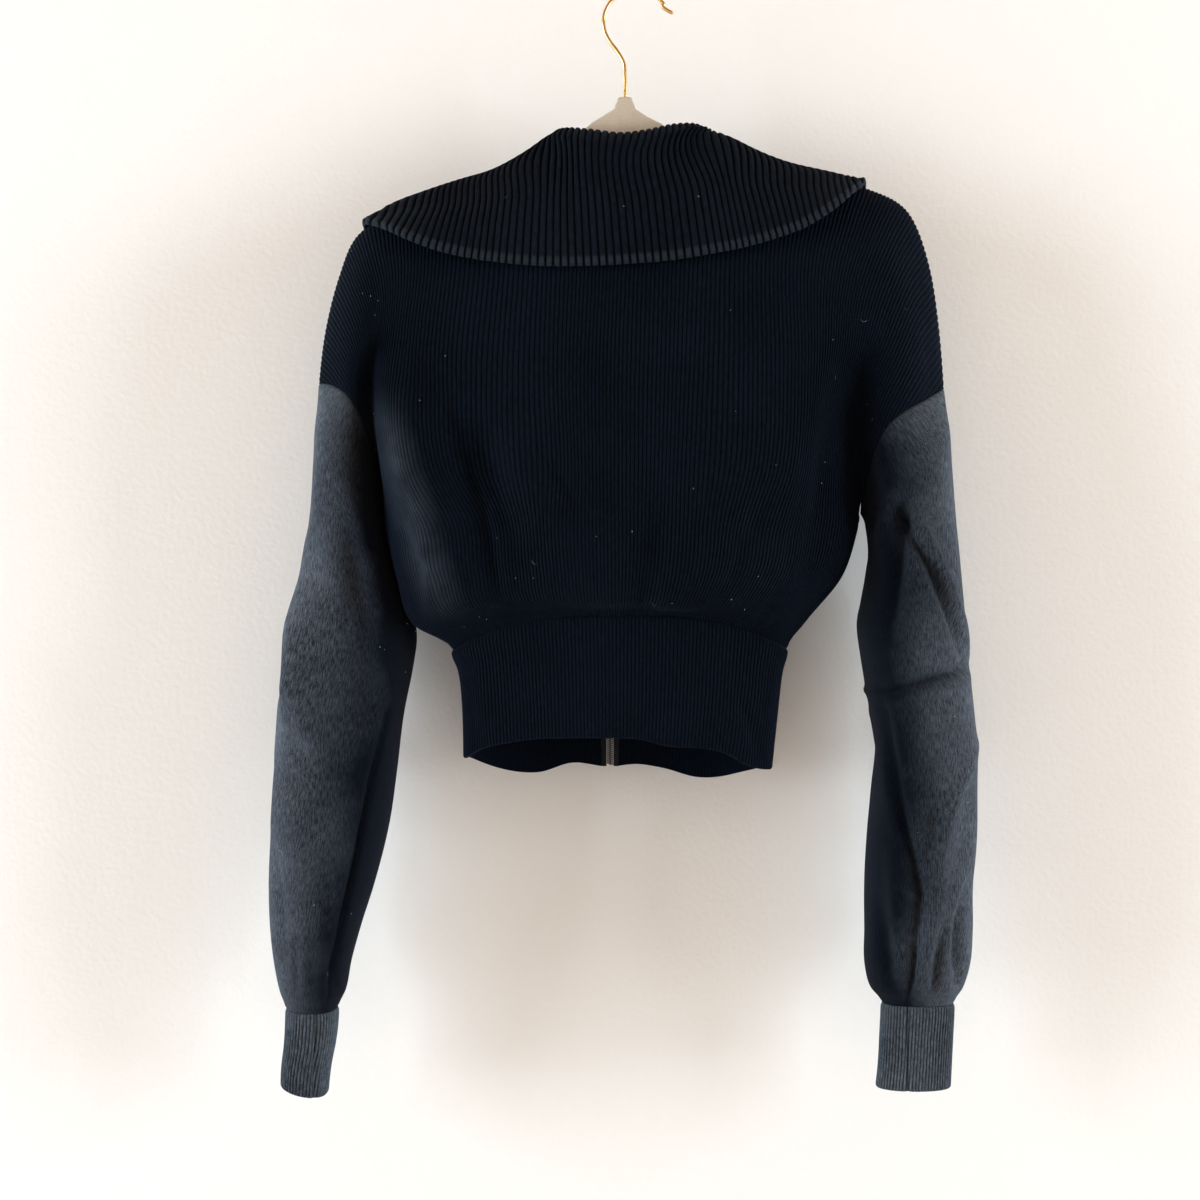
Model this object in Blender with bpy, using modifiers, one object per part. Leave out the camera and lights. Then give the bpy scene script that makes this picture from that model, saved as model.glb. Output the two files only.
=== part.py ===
"""Cropped knit zip jacket with a wide rib collar, folded down, hung on a flocked hanger.

World axes: +Z up, +X to the right as the jacket is seen from behind, +Y out of its front.
The origin is the inside of the hook's arch, where a rail carries the hanger.
"""

import math

import bmesh
import bpy
import numpy as np
from mathutils import Vector
from mathutils.bvhtree import BVHTree

# Sizes and tables are in millimetres; scene_mesh() turns them into metres.
MM = 0.001
BODY_WALL = 2.4
SLEEVE_WALL = 2.2
RIB_WALL = 3.0
COLLAR_WALL = 3.2
SEAM_GAP = 0.3
FRONT_CENTRE_X = -19.5
BACK_CENTRE_X = -14.0
FRONT_DEPTH = 0.85
RIDGE_FROM = (-60, 52)

COLLAR_RIBS = 62
RIB_RISE = 1.2
FOLD_RADIUS = 4.4
COLLAR_CLEAR = 2.2
SLEEVE_CLEAR = 1.2
SLEEVE_REACH = 25.0
ARMPIT_EASE = 1.2
COLLAR_SPREAD = 9
STAND_LIFT = 2.3
STAND_SHARES = (0.0, 0.5)
ARC_ANGLES = (0.0, 50.0, 100.0)
CREST_SHARE = 0.45
FALL_SHARES = (0.0, 0.17, 0.33, 0.45, 0.56, 0.72, 0.90, 1.0)

ZIP_HALF = 2.5
TAPE_INNER = 2.8
TAPE_OUTER = 6.9
PANEL_EDGE = 7.4
CHAIN_DEPTH = (-2.4, -0.2)
TAPE_DEPTH = (-2.0, -1.0)

HANGER_HALF = 2.5
HOOK_WIRE = 1.5
HOOK_RADIUS = 24.7
HOOK_CENTRE_Z = -23.2

SLIDER_DOWN = 9.0
SLIDER_HALF = (4.3, 6.0)
SLIDER_RISE = 2.6
SLIDER_EDGE = 0.8
ARCH_RISE = 7.6
ARCH_HALF = 4.6
ARCH_WIRE = 1.3
ARCH_ROOT = 1.0
PIVOT_RISE = 5.0
TAB_LENGTH = 24.0
TAB_HALF = 3.6
TAB_THICK = 1.4
TAB_CORNER = 0.7
TAB_WINDOW = (2.0, 7.4)
TAB_EYE = (1.6, 2.4, 8.0)

# Steps of the panels' grids, fewer than the knit's own ribs.
UPPER_STEPS = 10
LOWER_STEPS = 7
SIDE_COLUMNS = 11
SLEEVE_RINGS = 21
CUFF_COUNT = 20
CUFF_STEPS = 3
BAND_STEPS = 4

# Body columns from the left side (0) across the back to the right side (1). Each row is one
# column: where it leaves the shoulder ridge, rolls over it, crosses the cap, the groove beside
# the arm, and the level of the armpits. Each place is x, y (behind), z.
UPPER = np.array([
    # u,    ridge            roll              cap               groove            armpit
    (0.000, -241, 0, -298, -230, 17, -301, -216, 32, -310, -201, 28, -334, -189, 0, -379),
    (0.050, -236, 0, -258, -225, 22, -265, -210, 38, -279, -200, 24, -313, -190, 22, -374),
    (0.100, -226, 0, -218, -215, 24, -230, -200, 40, -253, -196, 26, -302, -185, 42, -371),
    (0.150, -212, 0, -186, -202, 24, -203, -189, 40, -234, -187, 37, -296, -176, 54, -369),
    (0.200, -183, 0, -167, -177, 23, -191, -171, 38, -223, -172, 48, -296, -158, 62, -368),
    (0.270, -141, 0, -152, -138, 22, -179, -137, 36, -215, -138, 52, -295, -127, 65, -369),
    (0.330, -100, 0, -139, -97, 22, -167, -98, 36, -213, -100, 53, -295, -94, 66, -369),
    (0.385, -61, 2, -125, -61, 22, -158, -63, 37, -211, -65, 54, -296, -62, 67, -369),
    (0.440, -39, 14, -143, -36, 25, -168, -37, 38, -214, -40, 55, -298, -39, 68, -371),
    (0.500, -9, 19, -150, -9, 26, -172, -11, 38, -215, -14, 55, -299, -14, 68, -372),
    (0.560, 22, 14, -143, 20, 25, -168, 18, 38, -213, 15, 55, -298, 13, 68, -371),
    (0.620, 53, 2, -120, 50, 22, -153, 48, 37, -210, 44, 54, -296, 40, 67, -370),
    (0.680, 94, 0, -132, 90, 22, -161, 85, 37, -208, 81, 53, -295, 74, 66, -369),
    (0.740, 136, 0, -142, 128, 23, -170, 118, 38, -210, 113, 52, -293, 103, 64, -369),
    (0.800, 176, 0, -150, 162, 24, -178, 146, 40, -218, 136, 50, -294, 127, 58, -370),
    (0.860, 208, 0, -169.5, 190, 26, -193, 168, 42, -233, 154, 39, -300, 146, 46, -373),
    (0.910, 223, 0, -209, 204, 26, -226, 184, 42, -255, 164, 31, -308, 158, 32, -379),
    (0.955, 230, 0, -253, 213, 24, -263, 194, 40, -284, 170, 31, -322, 166, 16, -387),
    (1.000, 234, 0, -302, 219, 20, -311, 198, 38, -323, 177, 34, -348, 170, 0, -396),
])

# Level sections of the body below the arms, from under the armpits to the waistband's seam.
TORSO = [
    # left x, z, right x, z, back depth, back z, front depth, front z, squareness
    (-186, -411, 167, -413, 73, -408, 62, -416, 2.6),
    (-175, -447, 155, -447, 72, -440, 67, -454, 2.6),
    (-162, -481, 129, -479, 62, -465, 61, -487, 2.7),
    (-138, -500, 115, -499, 48, -474, 46, -497, 2.8),
]

# The neckline from the collar's left front end round the back to its right front end: number
# of ribs from the middle of the back, body column, seam and fold line.
NECK = np.array([
    # rib, column, seam x, y, z, fold x, y, z
    (-62, 0.478, -29, 43, -267, -30, 53, -257),
    (-54, 0.460, -37, 41, -248, -41, 50, -238),
    (-46, 0.440, -46, 36, -222, -51, 46, -211),
    (-38, 0.420, -54, 29, -192, -59, 38, -181),
    (-30, 0.405, -59, 20, -166, -64, 27, -153),
    (-22, 0.393, -61, 10, -143, -65, 15, -129),
    (-16, 0.387, -61, 2, -129, -64, 6, -114),
    (-12, 0.385, -61, -2, -125, -61, -2, -107.5),
    (-8, 0.412, -51, -12, -137, -52, -13, -107.5),
    (-4, 0.455, -33, -16, -146, -34, -18, -110),
    (0, 0.500, -9, -19, -150, -12, -20, -113),
    (4, 0.545, 15, -16, -146, 9, -18, -110),
    (8, 0.588, 36, -13, -134, 28, -14, -105),
    (12, 0.620, 53, -2, -120, 46, -4, -102.5),
    (16, 0.618, 54, 2, -124, 54, 6, -108),
    (22, 0.612, 54, 10, -138, 57, 15, -122),
    (30, 0.600, 51, 20, -160, 55, 27, -146),
    (38, 0.584, 44, 29, -188, 49, 38, -175),
    (46, 0.564, 33, 36, -219, 38, 46, -207),
    (54, 0.544, 13, 41, -246, 16, 50, -236),
    (62, 0.522, -10, 43, -267, -9, 53, -257),
])

# Where the fall leaves the top of the shoulder, and its free edge, by rib number.
FALL = np.array([
    # rib, crest x, y, z, edge x, y, z
    (-62, -46, 57, -292, -62, 64, -318),
    (-54, -84, 56, -262, -118, 62, -287),
    (-46, -122, 48, -226, -168, 51, -249),
    (-40, -165, 30, -188, -197, 33, -208),
    (-35.4, -198, 4, -167, -204, -6, -178),
    (-33, -180, 0, -160, -187, -30, -186),
    (-30, -157, 0, -152, -172, -42, -194),
    (-25, -131, 0, -144, -145, -46, -205),
    (-20, -108, 0, -137, -119, -46, -211),
    (-16, -90, -3, -127, -99, -46, -214),
    (-12, -71, -7, -117, -76, -46, -216),
    (-6, -46, -26, -124, -42, -46, -216.5),
    (0, -15, -30, -130, -8, -46, -215),
    (6, 17, -26, -122, 26, -46, -212),
    (12, 47, -12, -107, 61, -46, -206),
    (16, 63, -4, -109, 80, -46, -202),
    (20, 84, 0, -118, 100, -46, -196),
    (25, 115, 0, -130, 123, -46, -187),
    (30, 145, 0, -137, 146, -44, -172),
    (33, 160, 0, -141, 160, -30, -160),
    (34.6, 167, 4, -143, 171, -8, -151),
    (39, 142, 28, -164, 168, 30, -184),
    (45, 100, 46, -204, 140, 50, -224),
    (53, 57, 55, -250, 92, 61, -272),
    (62, 7, 58, -292, 28, 64, -318),
])

# Sleeve sections from below the armhole to the cuff's seam: outer and inner side, half depth.
SLEEVES = {
    "left": [
        # outer x, z, inner x, z, y, half depth
        (-243, -329, -191.5, -397, 2, 42),
        (-245, -356, -189, -418, 4, 44),
        (-249, -396, -182, -440, 10, 45),
        (-255, -432, -173, -464, 12, 45),
        (-262, -470, -166, -488, 10, 44),
        (-268, -512, -170, -512, 6, 43),
        (-273, -554, -177, -550, 2, 42),
        (-275, -595, -182, -592, 1, 41),
        (-277, -640, -188, -634, 0, 40),
        (-278, -683, -200, -681, 0, 39),
        (-277, -709, -209, -709, 0, 38),
        (-274, -736, -217, -738, 0, 35),
        (-270, -757, -221, -759, 0, 30),
        (-266, -771, -226, -772, 0, 25),
    ],
    "right": [
        (236, -329, 175, -410, -2, 42),
        (238, -360, 176, -430, -3, 44),
        (241, -398, 174, -448, -3, 45),
        (245, -433, 171, -464, -3, 46),
        (249, -472, 168, -482, -3, 46),
        (252, -504, 171, -506, -2, 45),
        (254, -531, 176, -535, -2, 43),
        (257, -565, 182, -565, -1, 41),
        (258, -605, 179, -605, 0, 40),
        (258, -640, 176, -640, 0, 40),
        (255, -679, 174, -677, 0, 40),
        (255, -713, 174, -713, 0, 38),
        (253, -738, 174, -739, 0, 34),
        (248, -756, 178, -756, 0, 26),
        (242, -768, 186, -768, 0, 17),
    ],
}
CUFFS = {
    "left": [
        (-267, -798, -228, -797, 0, 25.5),
        (-269, -816, -232, -818, 0, 25.5),
        (-269.5, -829, -234, -837, 0, 25),
    ],
    "right": [
        (241, -792, 185, -792, 0, 15.5),
        (240, -812, 184, -812, 0, 15.5),
        (239, -832, 182, -832, 0, 16),
    ],
}

# Waistband sections below its top seam, and the height of its wavy lower edge by x.
BAND = [
    (-135, -516, 111, -517, 49.5, -500, 48, -519, 2.8),
    (-132, -542, 107, -551, 49, -534, 48, -549, 2.8),
    (-131, -582, 103, -590, 46, -567, 44, -594, 2.8),
]
HEM = np.array([
    # x, back z, front z
    (-131, -582, -582),
    (-120, -575, -588),
    (-100, -569, -595),
    (-75, -565, -597),
    (-50, -564, -590),
    (-20, -564, -593),
    (2, -565, -591),
    (22, -570, -594),
    (50, -572, -601),
    (68, -577, -600),
    (80, -584, -597),
    (103, -590, -590),
])

# Main folds, each a soft trough (negative) or ridge along a route of x, z places.
BACK_FOLDS = [
    # depth, half width, route
    (-9, 22, ((-163, -277), (-141, -316), (-117, -362), (-98, -406), (-88, -459))),
    (6, 16, ((-189, -270), (-181, -303), (-168, -352), (-160, -399), (-154, -447), (-145, -476))),
    (6, 15, ((-91, -333), (-83, -369), (-54, -416))),
    (-8, 17, ((18, -369), (11, -427), (4, -459))),
    (7, 17, ((72, -369), (39, -441), (22, -470))),
    (-5, 14, ((-54, -366), (-22, -388), (-2, -402))),
    (-10, 20, ((163, -300), (150, -352), (142, -405), (128, -470))),
    (3.5, 12, ((-22, -291), (-2, -268))),
]
FRONT_FOLDS = [
    (-9, 22, ((-150, -300), (-120, -360), (-98, -420), (-84, -470))),
    (6, 17, ((-96, -330), (-72, -385), (-52, -440))),
    (-9, 21, ((118, -300), (92, -360), (72, -420), (62, -470))),
    (6, 16, ((62, -330), (44, -390), (30, -440))),
]
SLEEVE_FOLDS = {
    "left": [
        (-4, 15, ((-264, -440), (-232, -452), (-205, -446))),
        (4, 16, ((-262, -619), (-255, -680), (-249, -730), (-248, -760))),
        (-4, 15, ((-236, -640), (-232, -690), (-233, -745))),
        (4, 15, ((-268, -520), (-236, -548), (-206, -560))),
        (-4, 14, ((-262, -560), (-228, -584), (-202, -590))),
    ],
    "right": [
        (-6, 16, ((206, -398), (222, -420), (240, -470), (250, -505))),
        (6, 16, ((196, -400), (212, -450), (232, -500))),
        (-5, 14, ((180, -540), (215, -528), (250, -516))),
        (5, 14, ((190, -580), (204, -628), (214, -668), (206, -730))),
        (5, 14, ((248, -570), (233, -640), (228, -700), (218, -748))),
        (-5, 13, ((226, -590), (218, -650), (222, -690))),
        (-5, 13, ((240, -690), (230, -725), (226, -750))),
    ],
}

# Hanger outline: top edge from the left tip to the right tip as x, z, and its arm's height.
HANGER_TOP = [
    (-205, -200), (-200, -188), (-183, -172.5), (-141, -156.8), (-100, -143.8), (-66, -135),
    (-57, -133), (-50, -128), (-46, -118), (-43, -108), (-34, -100), (-24, -94), (-16, -89),
    (-14, -80.3), (-3, -80.3), (-1, -89), (8, -95), (20, -101), (29, -108), (35, -118),
    (41, -127), (56, -130.5), (94, -137.2), (136, -147.4), (173, -159.5), (195, -174.5),
    (203, -188),
]
HANGER_BOTTOM = [
    (203, -201), (188, -193), (170, -178), (135, -166), (92, -157), (50, -152),
    (-9, -147), (-58, -155), (-100, -165), (-141, -178), (-180, -193), (-203, -211),
]
HOOK_STEM = [(-8.4, -80), (-8.4, -66), (-9.5, -54), (-14.5, -45), (-20.5, -37)]
HOOK_TIP = [(20.2, -10.6), (24, -14.4), (28.5, -16.6)]


def smooth(knots, values, at, first=None, last=None):
    """A smooth curve through values at increasing knots, read at the places `at`."""
    knots = np.asarray(knots, float)
    values = np.asarray(values, float)
    at = np.asarray(at, float)
    shape = (-1,) + (1,) * (values.ndim - 1)
    step = np.diff(knots).reshape(shape)
    slope = np.diff(values, axis=0) / step
    tangent = np.empty_like(values)
    tangent[1:-1] = (slope[:-1] * step[1:] + slope[1:] * step[:-1]) / (step[1:] + step[:-1])
    tangent[0] = 1.5 * slope[0] - 0.5 * tangent[1] if first is None else first
    tangent[-1] = 1.5 * slope[-1] - 0.5 * tangent[-2] if last is None else last
    i = np.clip(np.searchsorted(knots, at, side="right") - 1, 0, len(knots) - 2)
    h = step[i]
    s = (at - knots[i]).reshape(shape) / h
    return (
        (2 * s**3 - 3 * s**2 + 1) * values[i]
        + (s**3 - 2 * s**2 + s) * h * tangent[i]
        + (3 * s**2 - 2 * s**3) * values[i + 1]
        + (s**3 - s**2) * h * tangent[i + 1]
    )


def unit(vectors):
    return vectors / np.maximum(np.linalg.norm(vectors, axis=-1, keepdims=True), 1e-9)


def ring_half(u, side, left_x, left_z, right_x, right_z, depth, mid_z, square):
    """Half of a level section from its left end (u = 0) to its right, evenly spaced on each
    side of the panel's middle (u = 0.5)."""
    angle = np.linspace(0, math.pi, 241)
    c, s = np.cos(angle), np.sin(angle)
    x = -np.sign(c) * np.abs(c) ** (2 / square)
    y = np.abs(s) ** (2 / square)
    x = (left_x + right_x) / 2 + x * (right_x - left_x) / 2
    y = side * depth * y
    length = np.concatenate([[0], np.cumsum(np.hypot(np.diff(x), np.diff(y)))])
    centre_x = BACK_CENTRE_X if side < 0 else FRONT_CENTRE_X
    centre = np.interp(centre_x, x, length)
    turn = np.interp(np.interp(u, (0, 0.5, 1), (0, centre, length[-1])), length, angle)
    x = np.interp(turn, angle, x)
    y = np.interp(turn, angle, y)
    line = left_z + (right_z - left_z) * (x - left_x) / (right_x - left_x)
    middle = (left_z + right_z) / 2
    z = line + (mid_z - middle) * np.sin(turn) ** 2
    return np.stack([x, y, z], axis=-1)


def torso_row(section, u, side):
    left_x, left_z, right_x, right_z, back, back_z, front, front_z, square = section
    depth, mid_z = (back, back_z) if side < 0 else (front, front_z)
    return ring_half(u, side, left_x, left_z, right_x, right_z, depth, mid_z, square)


def upper_rows(u):
    """The five upper rows at the columns u, as (row, column, xyz) with y taken as a depth."""
    return smooth(UPPER[:, 0], UPPER[:, 1:], u).reshape(len(u), 5, 3).transpose(1, 0, 2)


# Body columns at the two sides of the neck, and how far the rows below the front neckline lie on
# the way to the armpit level: along the cloth, and in depth beside the neck.
NECK_SIDES = (0.385, 0.62)
NECK_ROWS = (0.0, 0.15, 0.36, 0.70)
NECK_DEPTHS = (0.0, 0.35, 0.56, 0.82)


def front_neck(u):
    """The front neckline at columns between the two sides of the neck."""
    left = NECK[NECK[:, 0] <= -12][::-1]
    right = NECK[NECK[:, 0] >= 12][::-1]
    table = np.concatenate([left, right])
    return smooth(table[:, 1], table[:, 2:5], u)


def body_rows(u, side):
    """Control rows of the back (side -1) or the front (+1), from the ridge to the waist."""
    u = np.asarray(u, float)
    rows = upper_rows(u)
    if side < 0:
        rows[..., 1] *= -1
    else:
        rows[..., 1] *= FRONT_DEPTH
        nearness = np.clip(1 - np.abs(u - 0.5) / 0.2, 0, 1)
        rows[4, :, 0] += (FRONT_CENTRE_X - BACK_CENTRE_X) * nearness
        neck = (u > NECK_SIDES[0]) & (u < NECK_SIDES[1])
        if neck.any():
            top = front_neck(u[neck])
            below = rows[4, neck] + (0, 0, -4)
            beside = np.minimum(u[neck] - NECK_SIDES[0], NECK_SIDES[1] - u[neck])
            beside = np.clip(beside / 0.06, 0, 1)
            for row, (along, deep) in enumerate(zip(NECK_ROWS, NECK_DEPTHS)):
                share = np.full((neck.sum(), 3), along)
                share[:, 1] = deep + (along - deep) * beside
                rows[row, neck] = top + (below - top) * share
            rows[4, neck] = below
    lower = np.stack([torso_row(section, u, side) for section in TORSO])
    return np.concatenate([rows, lower])


def row_knots():
    """Mean distances between the body's control rows, so that both faces share them."""
    u = np.linspace(0.02, 0.98, 49)
    rows = body_rows(u, -1)
    steps = np.linalg.norm(np.diff(rows, axis=0), axis=-1).mean(axis=1)
    return np.concatenate([[0], np.cumsum(steps)])


KNOTS = row_knots()
ARMPIT = KNOTS[4]
WAIST = KNOTS[-1]


def body_points(u, t, side):
    """The outer face of the body without its folds, as (t, u, xyz)."""
    u = np.asarray(u, float)
    rows = body_rows(u, side)
    other = body_rows(u, -side)
    over = np.maximum(NECK_SIDES[0] - u, u - NECK_SIDES[1])
    over = np.clip(over / 0.02, 0, 1)[:, None]
    across = (rows[1] - other[1]) / (2 * KNOTS[1])
    down = (rows[1] - rows[0]) / KNOTS[1]
    first = over * across + (1 - over) * down
    last = np.broadcast_to((0.0, 0.0, -1.0), first.shape)
    points = smooth(KNOTS, rows, t, first, last)
    points[..., 1] = side * np.maximum(side * points[..., 1], 0)
    return points


def fold_rise(points, table):
    """How far each place rises, from its distance in x and z to each fold's route."""
    rise = np.zeros(points.shape[:-1])
    flat = points[..., (0, 2)]
    for depth, width, route in table:
        route = np.asarray(route, float)
        nearest = np.full(rise.shape, 1e9)
        along = np.zeros(rise.shape)
        for i in range(len(route) - 1):
            start, end = route[i], route[i + 1]
            step = end - start
            share = np.clip(((flat - start) @ step) / (step @ step), 0, 1)
            distance = np.linalg.norm(flat - start - share[..., None] * step, axis=-1)
            closer = distance < nearest
            nearest = np.where(closer, distance, nearest)
            along = np.where(closer, (i + share) / (len(route) - 1), along)
        taper = np.clip(np.sin(math.pi * (0.12 + 0.76 * along)), 0, 1)
        rise += depth * taper * np.exp(-((nearest / width) ** 2))
    return rise


def grid_normals(points, sign, wrap=False):
    """Unit normals of a (row, column) grid, times a sign that turns them outwards."""
    if wrap:
        across = np.roll(points, -1, axis=1) - np.roll(points, 1, axis=1)
    else:
        across = np.gradient(points, axis=1)
    down = np.gradient(points, axis=0)
    return sign * unit(np.cross(down, across))


def body_face(u, t, side):
    """The outer face of the body with its folds, which die away at every seam."""
    points = body_points(u, t, side)
    normals = grid_normals(points, -side)
    rise = fold_rise(points, BACK_FOLDS if side < 0 else FRONT_FOLDS)
    u = np.asarray(u, float)
    edge = np.clip(np.minimum(u, 1 - u) / 0.08, 0, 1)
    if side > 0:
        edge = edge * np.clip(np.abs(u - 0.5) / 0.07, 0, 1) ** 2
    low = np.clip((WAIST - t) / 22, 0, 1)
    points = points + normals * (rise * edge * low[:, None])[..., None]
    return points, grid_normals(points, -side)


# Rows and columns of the panels' grids.
UPPER_ROWS = ARMPIT * np.linspace(0, 1, UPPER_STEPS + 1) ** 1.35
PANEL_ROWS = np.concatenate([UPPER_ROWS, np.linspace(ARMPIT, WAIST, LOWER_STEPS + 1)[1:]])
BACK_NECK = NECK[np.abs(NECK[:, 0]) < 13, 1]
LEFT_COLUMNS = np.linspace(0, BACK_NECK[0], SIDE_COLUMNS)
RIGHT_COLUMNS = np.linspace(BACK_NECK[-1], 1, SIDE_COLUMNS)
BACK_COLUMNS = np.concatenate([LEFT_COLUMNS[:-1], BACK_NECK, RIGHT_COLUMNS[1:]])
FRONT_NECK = {"left": NECK[6:0:-1, 1], "right": NECK[14:20, 1]}


def half_columns(hand):
    """Fine columns of the front from one side to the middle, and the panel's own."""
    if hand == "left":
        kept = np.concatenate([LEFT_COLUMNS, FRONT_NECK[hand]])
        return np.union1d(np.linspace(0, 0.5, 97), kept), kept
    kept = np.concatenate([RIGHT_COLUMNS[::-1], FRONT_NECK[hand]])
    return np.union1d(np.linspace(0.5, 1, 97), kept)[::-1], kept


def to_zip(rows_at, hand):
    """A half front's rows, which share the back's columns and stop beside the zip."""
    fine, kept = half_columns(hand)
    rows = []
    for row in rows_at(fine):
        steps = np.linalg.norm(np.diff(row, axis=0), axis=1)
        length = np.concatenate([[0], np.cumsum(steps)])
        at = np.interp(np.abs(kept - fine[0]), np.abs(fine - fine[0]), length)
        beside = np.abs(row[:, 0] - row[-1, 0])
        at = np.append(at, np.interp(PANEL_EDGE, beside[::-1], length[::-1]))
        rows.append(np.stack([np.interp(at, length, row[:, k]) for k in range(3)], axis=1))
    rows = np.stack(rows)
    return rows[:, ::-1] if hand == "right" else rows


def ellipse_ring(section, places, square=2.15):
    """A sleeve's or cuff's section from its outer side round the back, by shares of its length."""
    outer_x, outer_z, inner_x, inner_z, y, half_depth = section
    outer = np.array((outer_x, y, outer_z), float)
    inner = np.array((inner_x, y, inner_z), float)
    middle, reach = (outer + inner) / 2, (outer - inner) / 2
    angle = np.linspace(0, 2 * math.pi, 721)
    c, s = np.cos(angle), np.sin(angle)
    along = np.sign(c) * np.abs(c) ** (2 / square)
    deep = np.sign(s) * np.abs(s) ** (2 / square)
    ring = middle + along[:, None] * reach - deep[:, None] * np.array((0, half_depth, 0))
    length = np.concatenate([[0], np.cumsum(np.linalg.norm(np.diff(ring, axis=0), axis=1))])
    turn = np.interp(places * length[-1], length, angle)
    return np.stack([np.interp(turn, angle, ring[:, k]) for k in range(3)], axis=1)


def armhole(hand):
    """The armhole's seam as a loop: over the back to the armpit, and up the front."""
    u = np.array([0.0 if hand == "left" else 1.0])
    back = body_points(u, UPPER_ROWS, -1)[:, 0]
    front = body_points(u, UPPER_ROWS, 1)[:, 0]
    return np.concatenate([back, front[-2:0:-1]])


def armhole_normals(hand):
    """The body's own normals round the same loop."""
    near = np.array([0.0, 0.02]) if hand == "left" else np.array([0.98, 1.0])
    column = 0 if hand == "left" else 1
    back = grid_normals(body_points(near, UPPER_ROWS, -1), 1)[:, column]
    front = grid_normals(body_points(near, UPPER_ROWS, 1), -1)[:, column]
    loop = np.concatenate([back, front[-2:0:-1]])
    loop[0] = unit(back[0] + front[0])
    loop[UPPER_STEPS] = unit(back[-1] + front[-1])
    return loop


def sleeve_face(hand):
    """A sleeve's outer face as rings from the armhole to the cuff's seam."""
    loop = armhole(hand)
    half = UPPER_ROWS / ARMPIT / 2
    places = np.concatenate([half, 1 - half[-2:0:-1]])
    rings = np.stack([loop] + [ellipse_ring(section, places) for section in SLEEVES[hand]])
    steps = np.linalg.norm(np.diff(rings, axis=0), axis=-1).mean(axis=1)
    knots = np.concatenate([[0], np.cumsum(steps)])
    at = np.linspace(0, knots[-1], SLEEVE_RINGS)
    last = np.broadcast_to((0.0, 0.0, -1.0), loop.shape)
    points = smooth(knots, rings, at, last=last)
    turn = 1 if hand == "left" else -1
    normals = grid_normals(points, turn, wrap=True)
    back = np.clip(-normals[..., 1] * 2, -0.6, 1)
    rise = fold_rise(points, SLEEVE_FOLDS[hand]) * back
    fade = np.clip(at / 40, 0, 1) * np.clip((knots[-1] - at) / 25, 0, 1)
    points = points + normals * (rise * fade[:, None])[..., None]
    return points, grid_normals(points, turn, wrap=True)


def seam_normals(hand):
    """One set of normals for both walls that meet at the armhole."""
    points, normals = sleeve_face(hand)
    shared = unit(normals[0] + armhole_normals(hand))
    for _ in range(3):
        shared[UPPER_STEPS] = (0, 0, -1)
        shared = unit(np.roll(shared, 1, axis=0) + 2 * shared + np.roll(shared, -1, axis=0))
    return shared


def grid_faces(rows, columns, start, wrap=False, flip=False):
    """Quads of a grid whose first vertex has the index start."""
    faces = []
    for r in range(rows - 1):
        for c in range(columns if wrap else columns - 1):
            d = (c + 1) % columns
            quad = (
                start + r * columns + c,
                start + (r + 1) * columns + c,
                start + (r + 1) * columns + d,
                start + r * columns + d,
            )
            faces.append(quad[::-1] if flip else quad)
    return faces


def border(rows, columns):
    """The indices round an open grid's edge, in order."""
    top = list(range(columns))
    right = [r * columns + columns - 1 for r in range(1, rows)]
    bottom = [(rows - 1) * columns + c for c in range(columns - 2, -1, -1)]
    left = [r * columns for r in range(rows - 2, 0, -1)]
    return top + right + bottom + left


COLLECTION = "knit_zip_jacket"


def make_material(name, colour, roughness, metallic=0.0):
    material = bpy.data.materials.new(name)
    material.use_nodes = True
    shader = material.node_tree.nodes["Principled BSDF"]
    shader.inputs["Base Color"].default_value = (*colour, 1)
    shader.inputs["Roughness"].default_value = roughness
    shader.inputs["Metallic"].default_value = metallic
    material.diffuse_color = (*colour, 1)
    return material


def add_object(name, data, material):
    data.materials.clear()
    data.materials.append(material)
    obj = bpy.data.objects.new(name, data)
    bpy.data.collections[COLLECTION].objects.link(obj)
    return obj


def scene_mesh(name, vertices, faces, material, sharp=50):
    """A mesh object from millimetre vertices, with its faces turned outwards."""
    mesh = bpy.data.meshes.new(name)
    mesh.from_pydata([tuple(v) for v in np.asarray(vertices) * MM], [], faces)
    work = bmesh.new()
    work.from_mesh(mesh)
    bmesh.ops.recalc_face_normals(work, faces=work.faces)
    work.to_mesh(mesh)
    work.free()
    mesh.shade_smooth()
    mesh.set_sharp_from_angle(angle=math.radians(sharp))
    return add_object(name, mesh, material)


def wall(name, points, normals, thickness, material, wrap=False):
    """A closed cloth wall: the outer grid, the same grid moved inwards, and its rims."""
    rows, columns = points.shape[:2]
    inner = points - normals * thickness
    count = rows * columns
    vertices = np.concatenate([points.reshape(-1, 3), inner.reshape(-1, 3)])
    faces = grid_faces(rows, columns, 0, wrap)
    faces += grid_faces(rows, columns, count, wrap, flip=True)
    if wrap:
        loops = [list(range(columns)), [count - columns + c for c in range(columns)][::-1]]
    else:
        loops = [border(rows, columns)]
    for loop in loops:
        for i, a in enumerate(loop):
            b = loop[(i + 1) % len(loop)]
            faces.append((a, b, b + count, a + count))
    return scene_mesh(name, vertices, faces, material)


def inset(points, ends):
    """The grid with its chosen end rows or columns moved in by half a seam's gap."""
    points = points.copy()
    if "top" in ends:
        points[0] += SEAM_GAP / 2 * unit(points[1] - points[0])
    if "bottom" in ends:
        points[-1] += SEAM_GAP / 2 * unit(points[-2] - points[-1])
    if "left" in ends:
        points[:, 0] += SEAM_GAP / 2 * unit(points[:, 1] - points[:, 0])
    if "right" in ends:
        points[:, -1] += SEAM_GAP / 2 * unit(points[:, -2] - points[:, -1])
    return points


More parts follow.
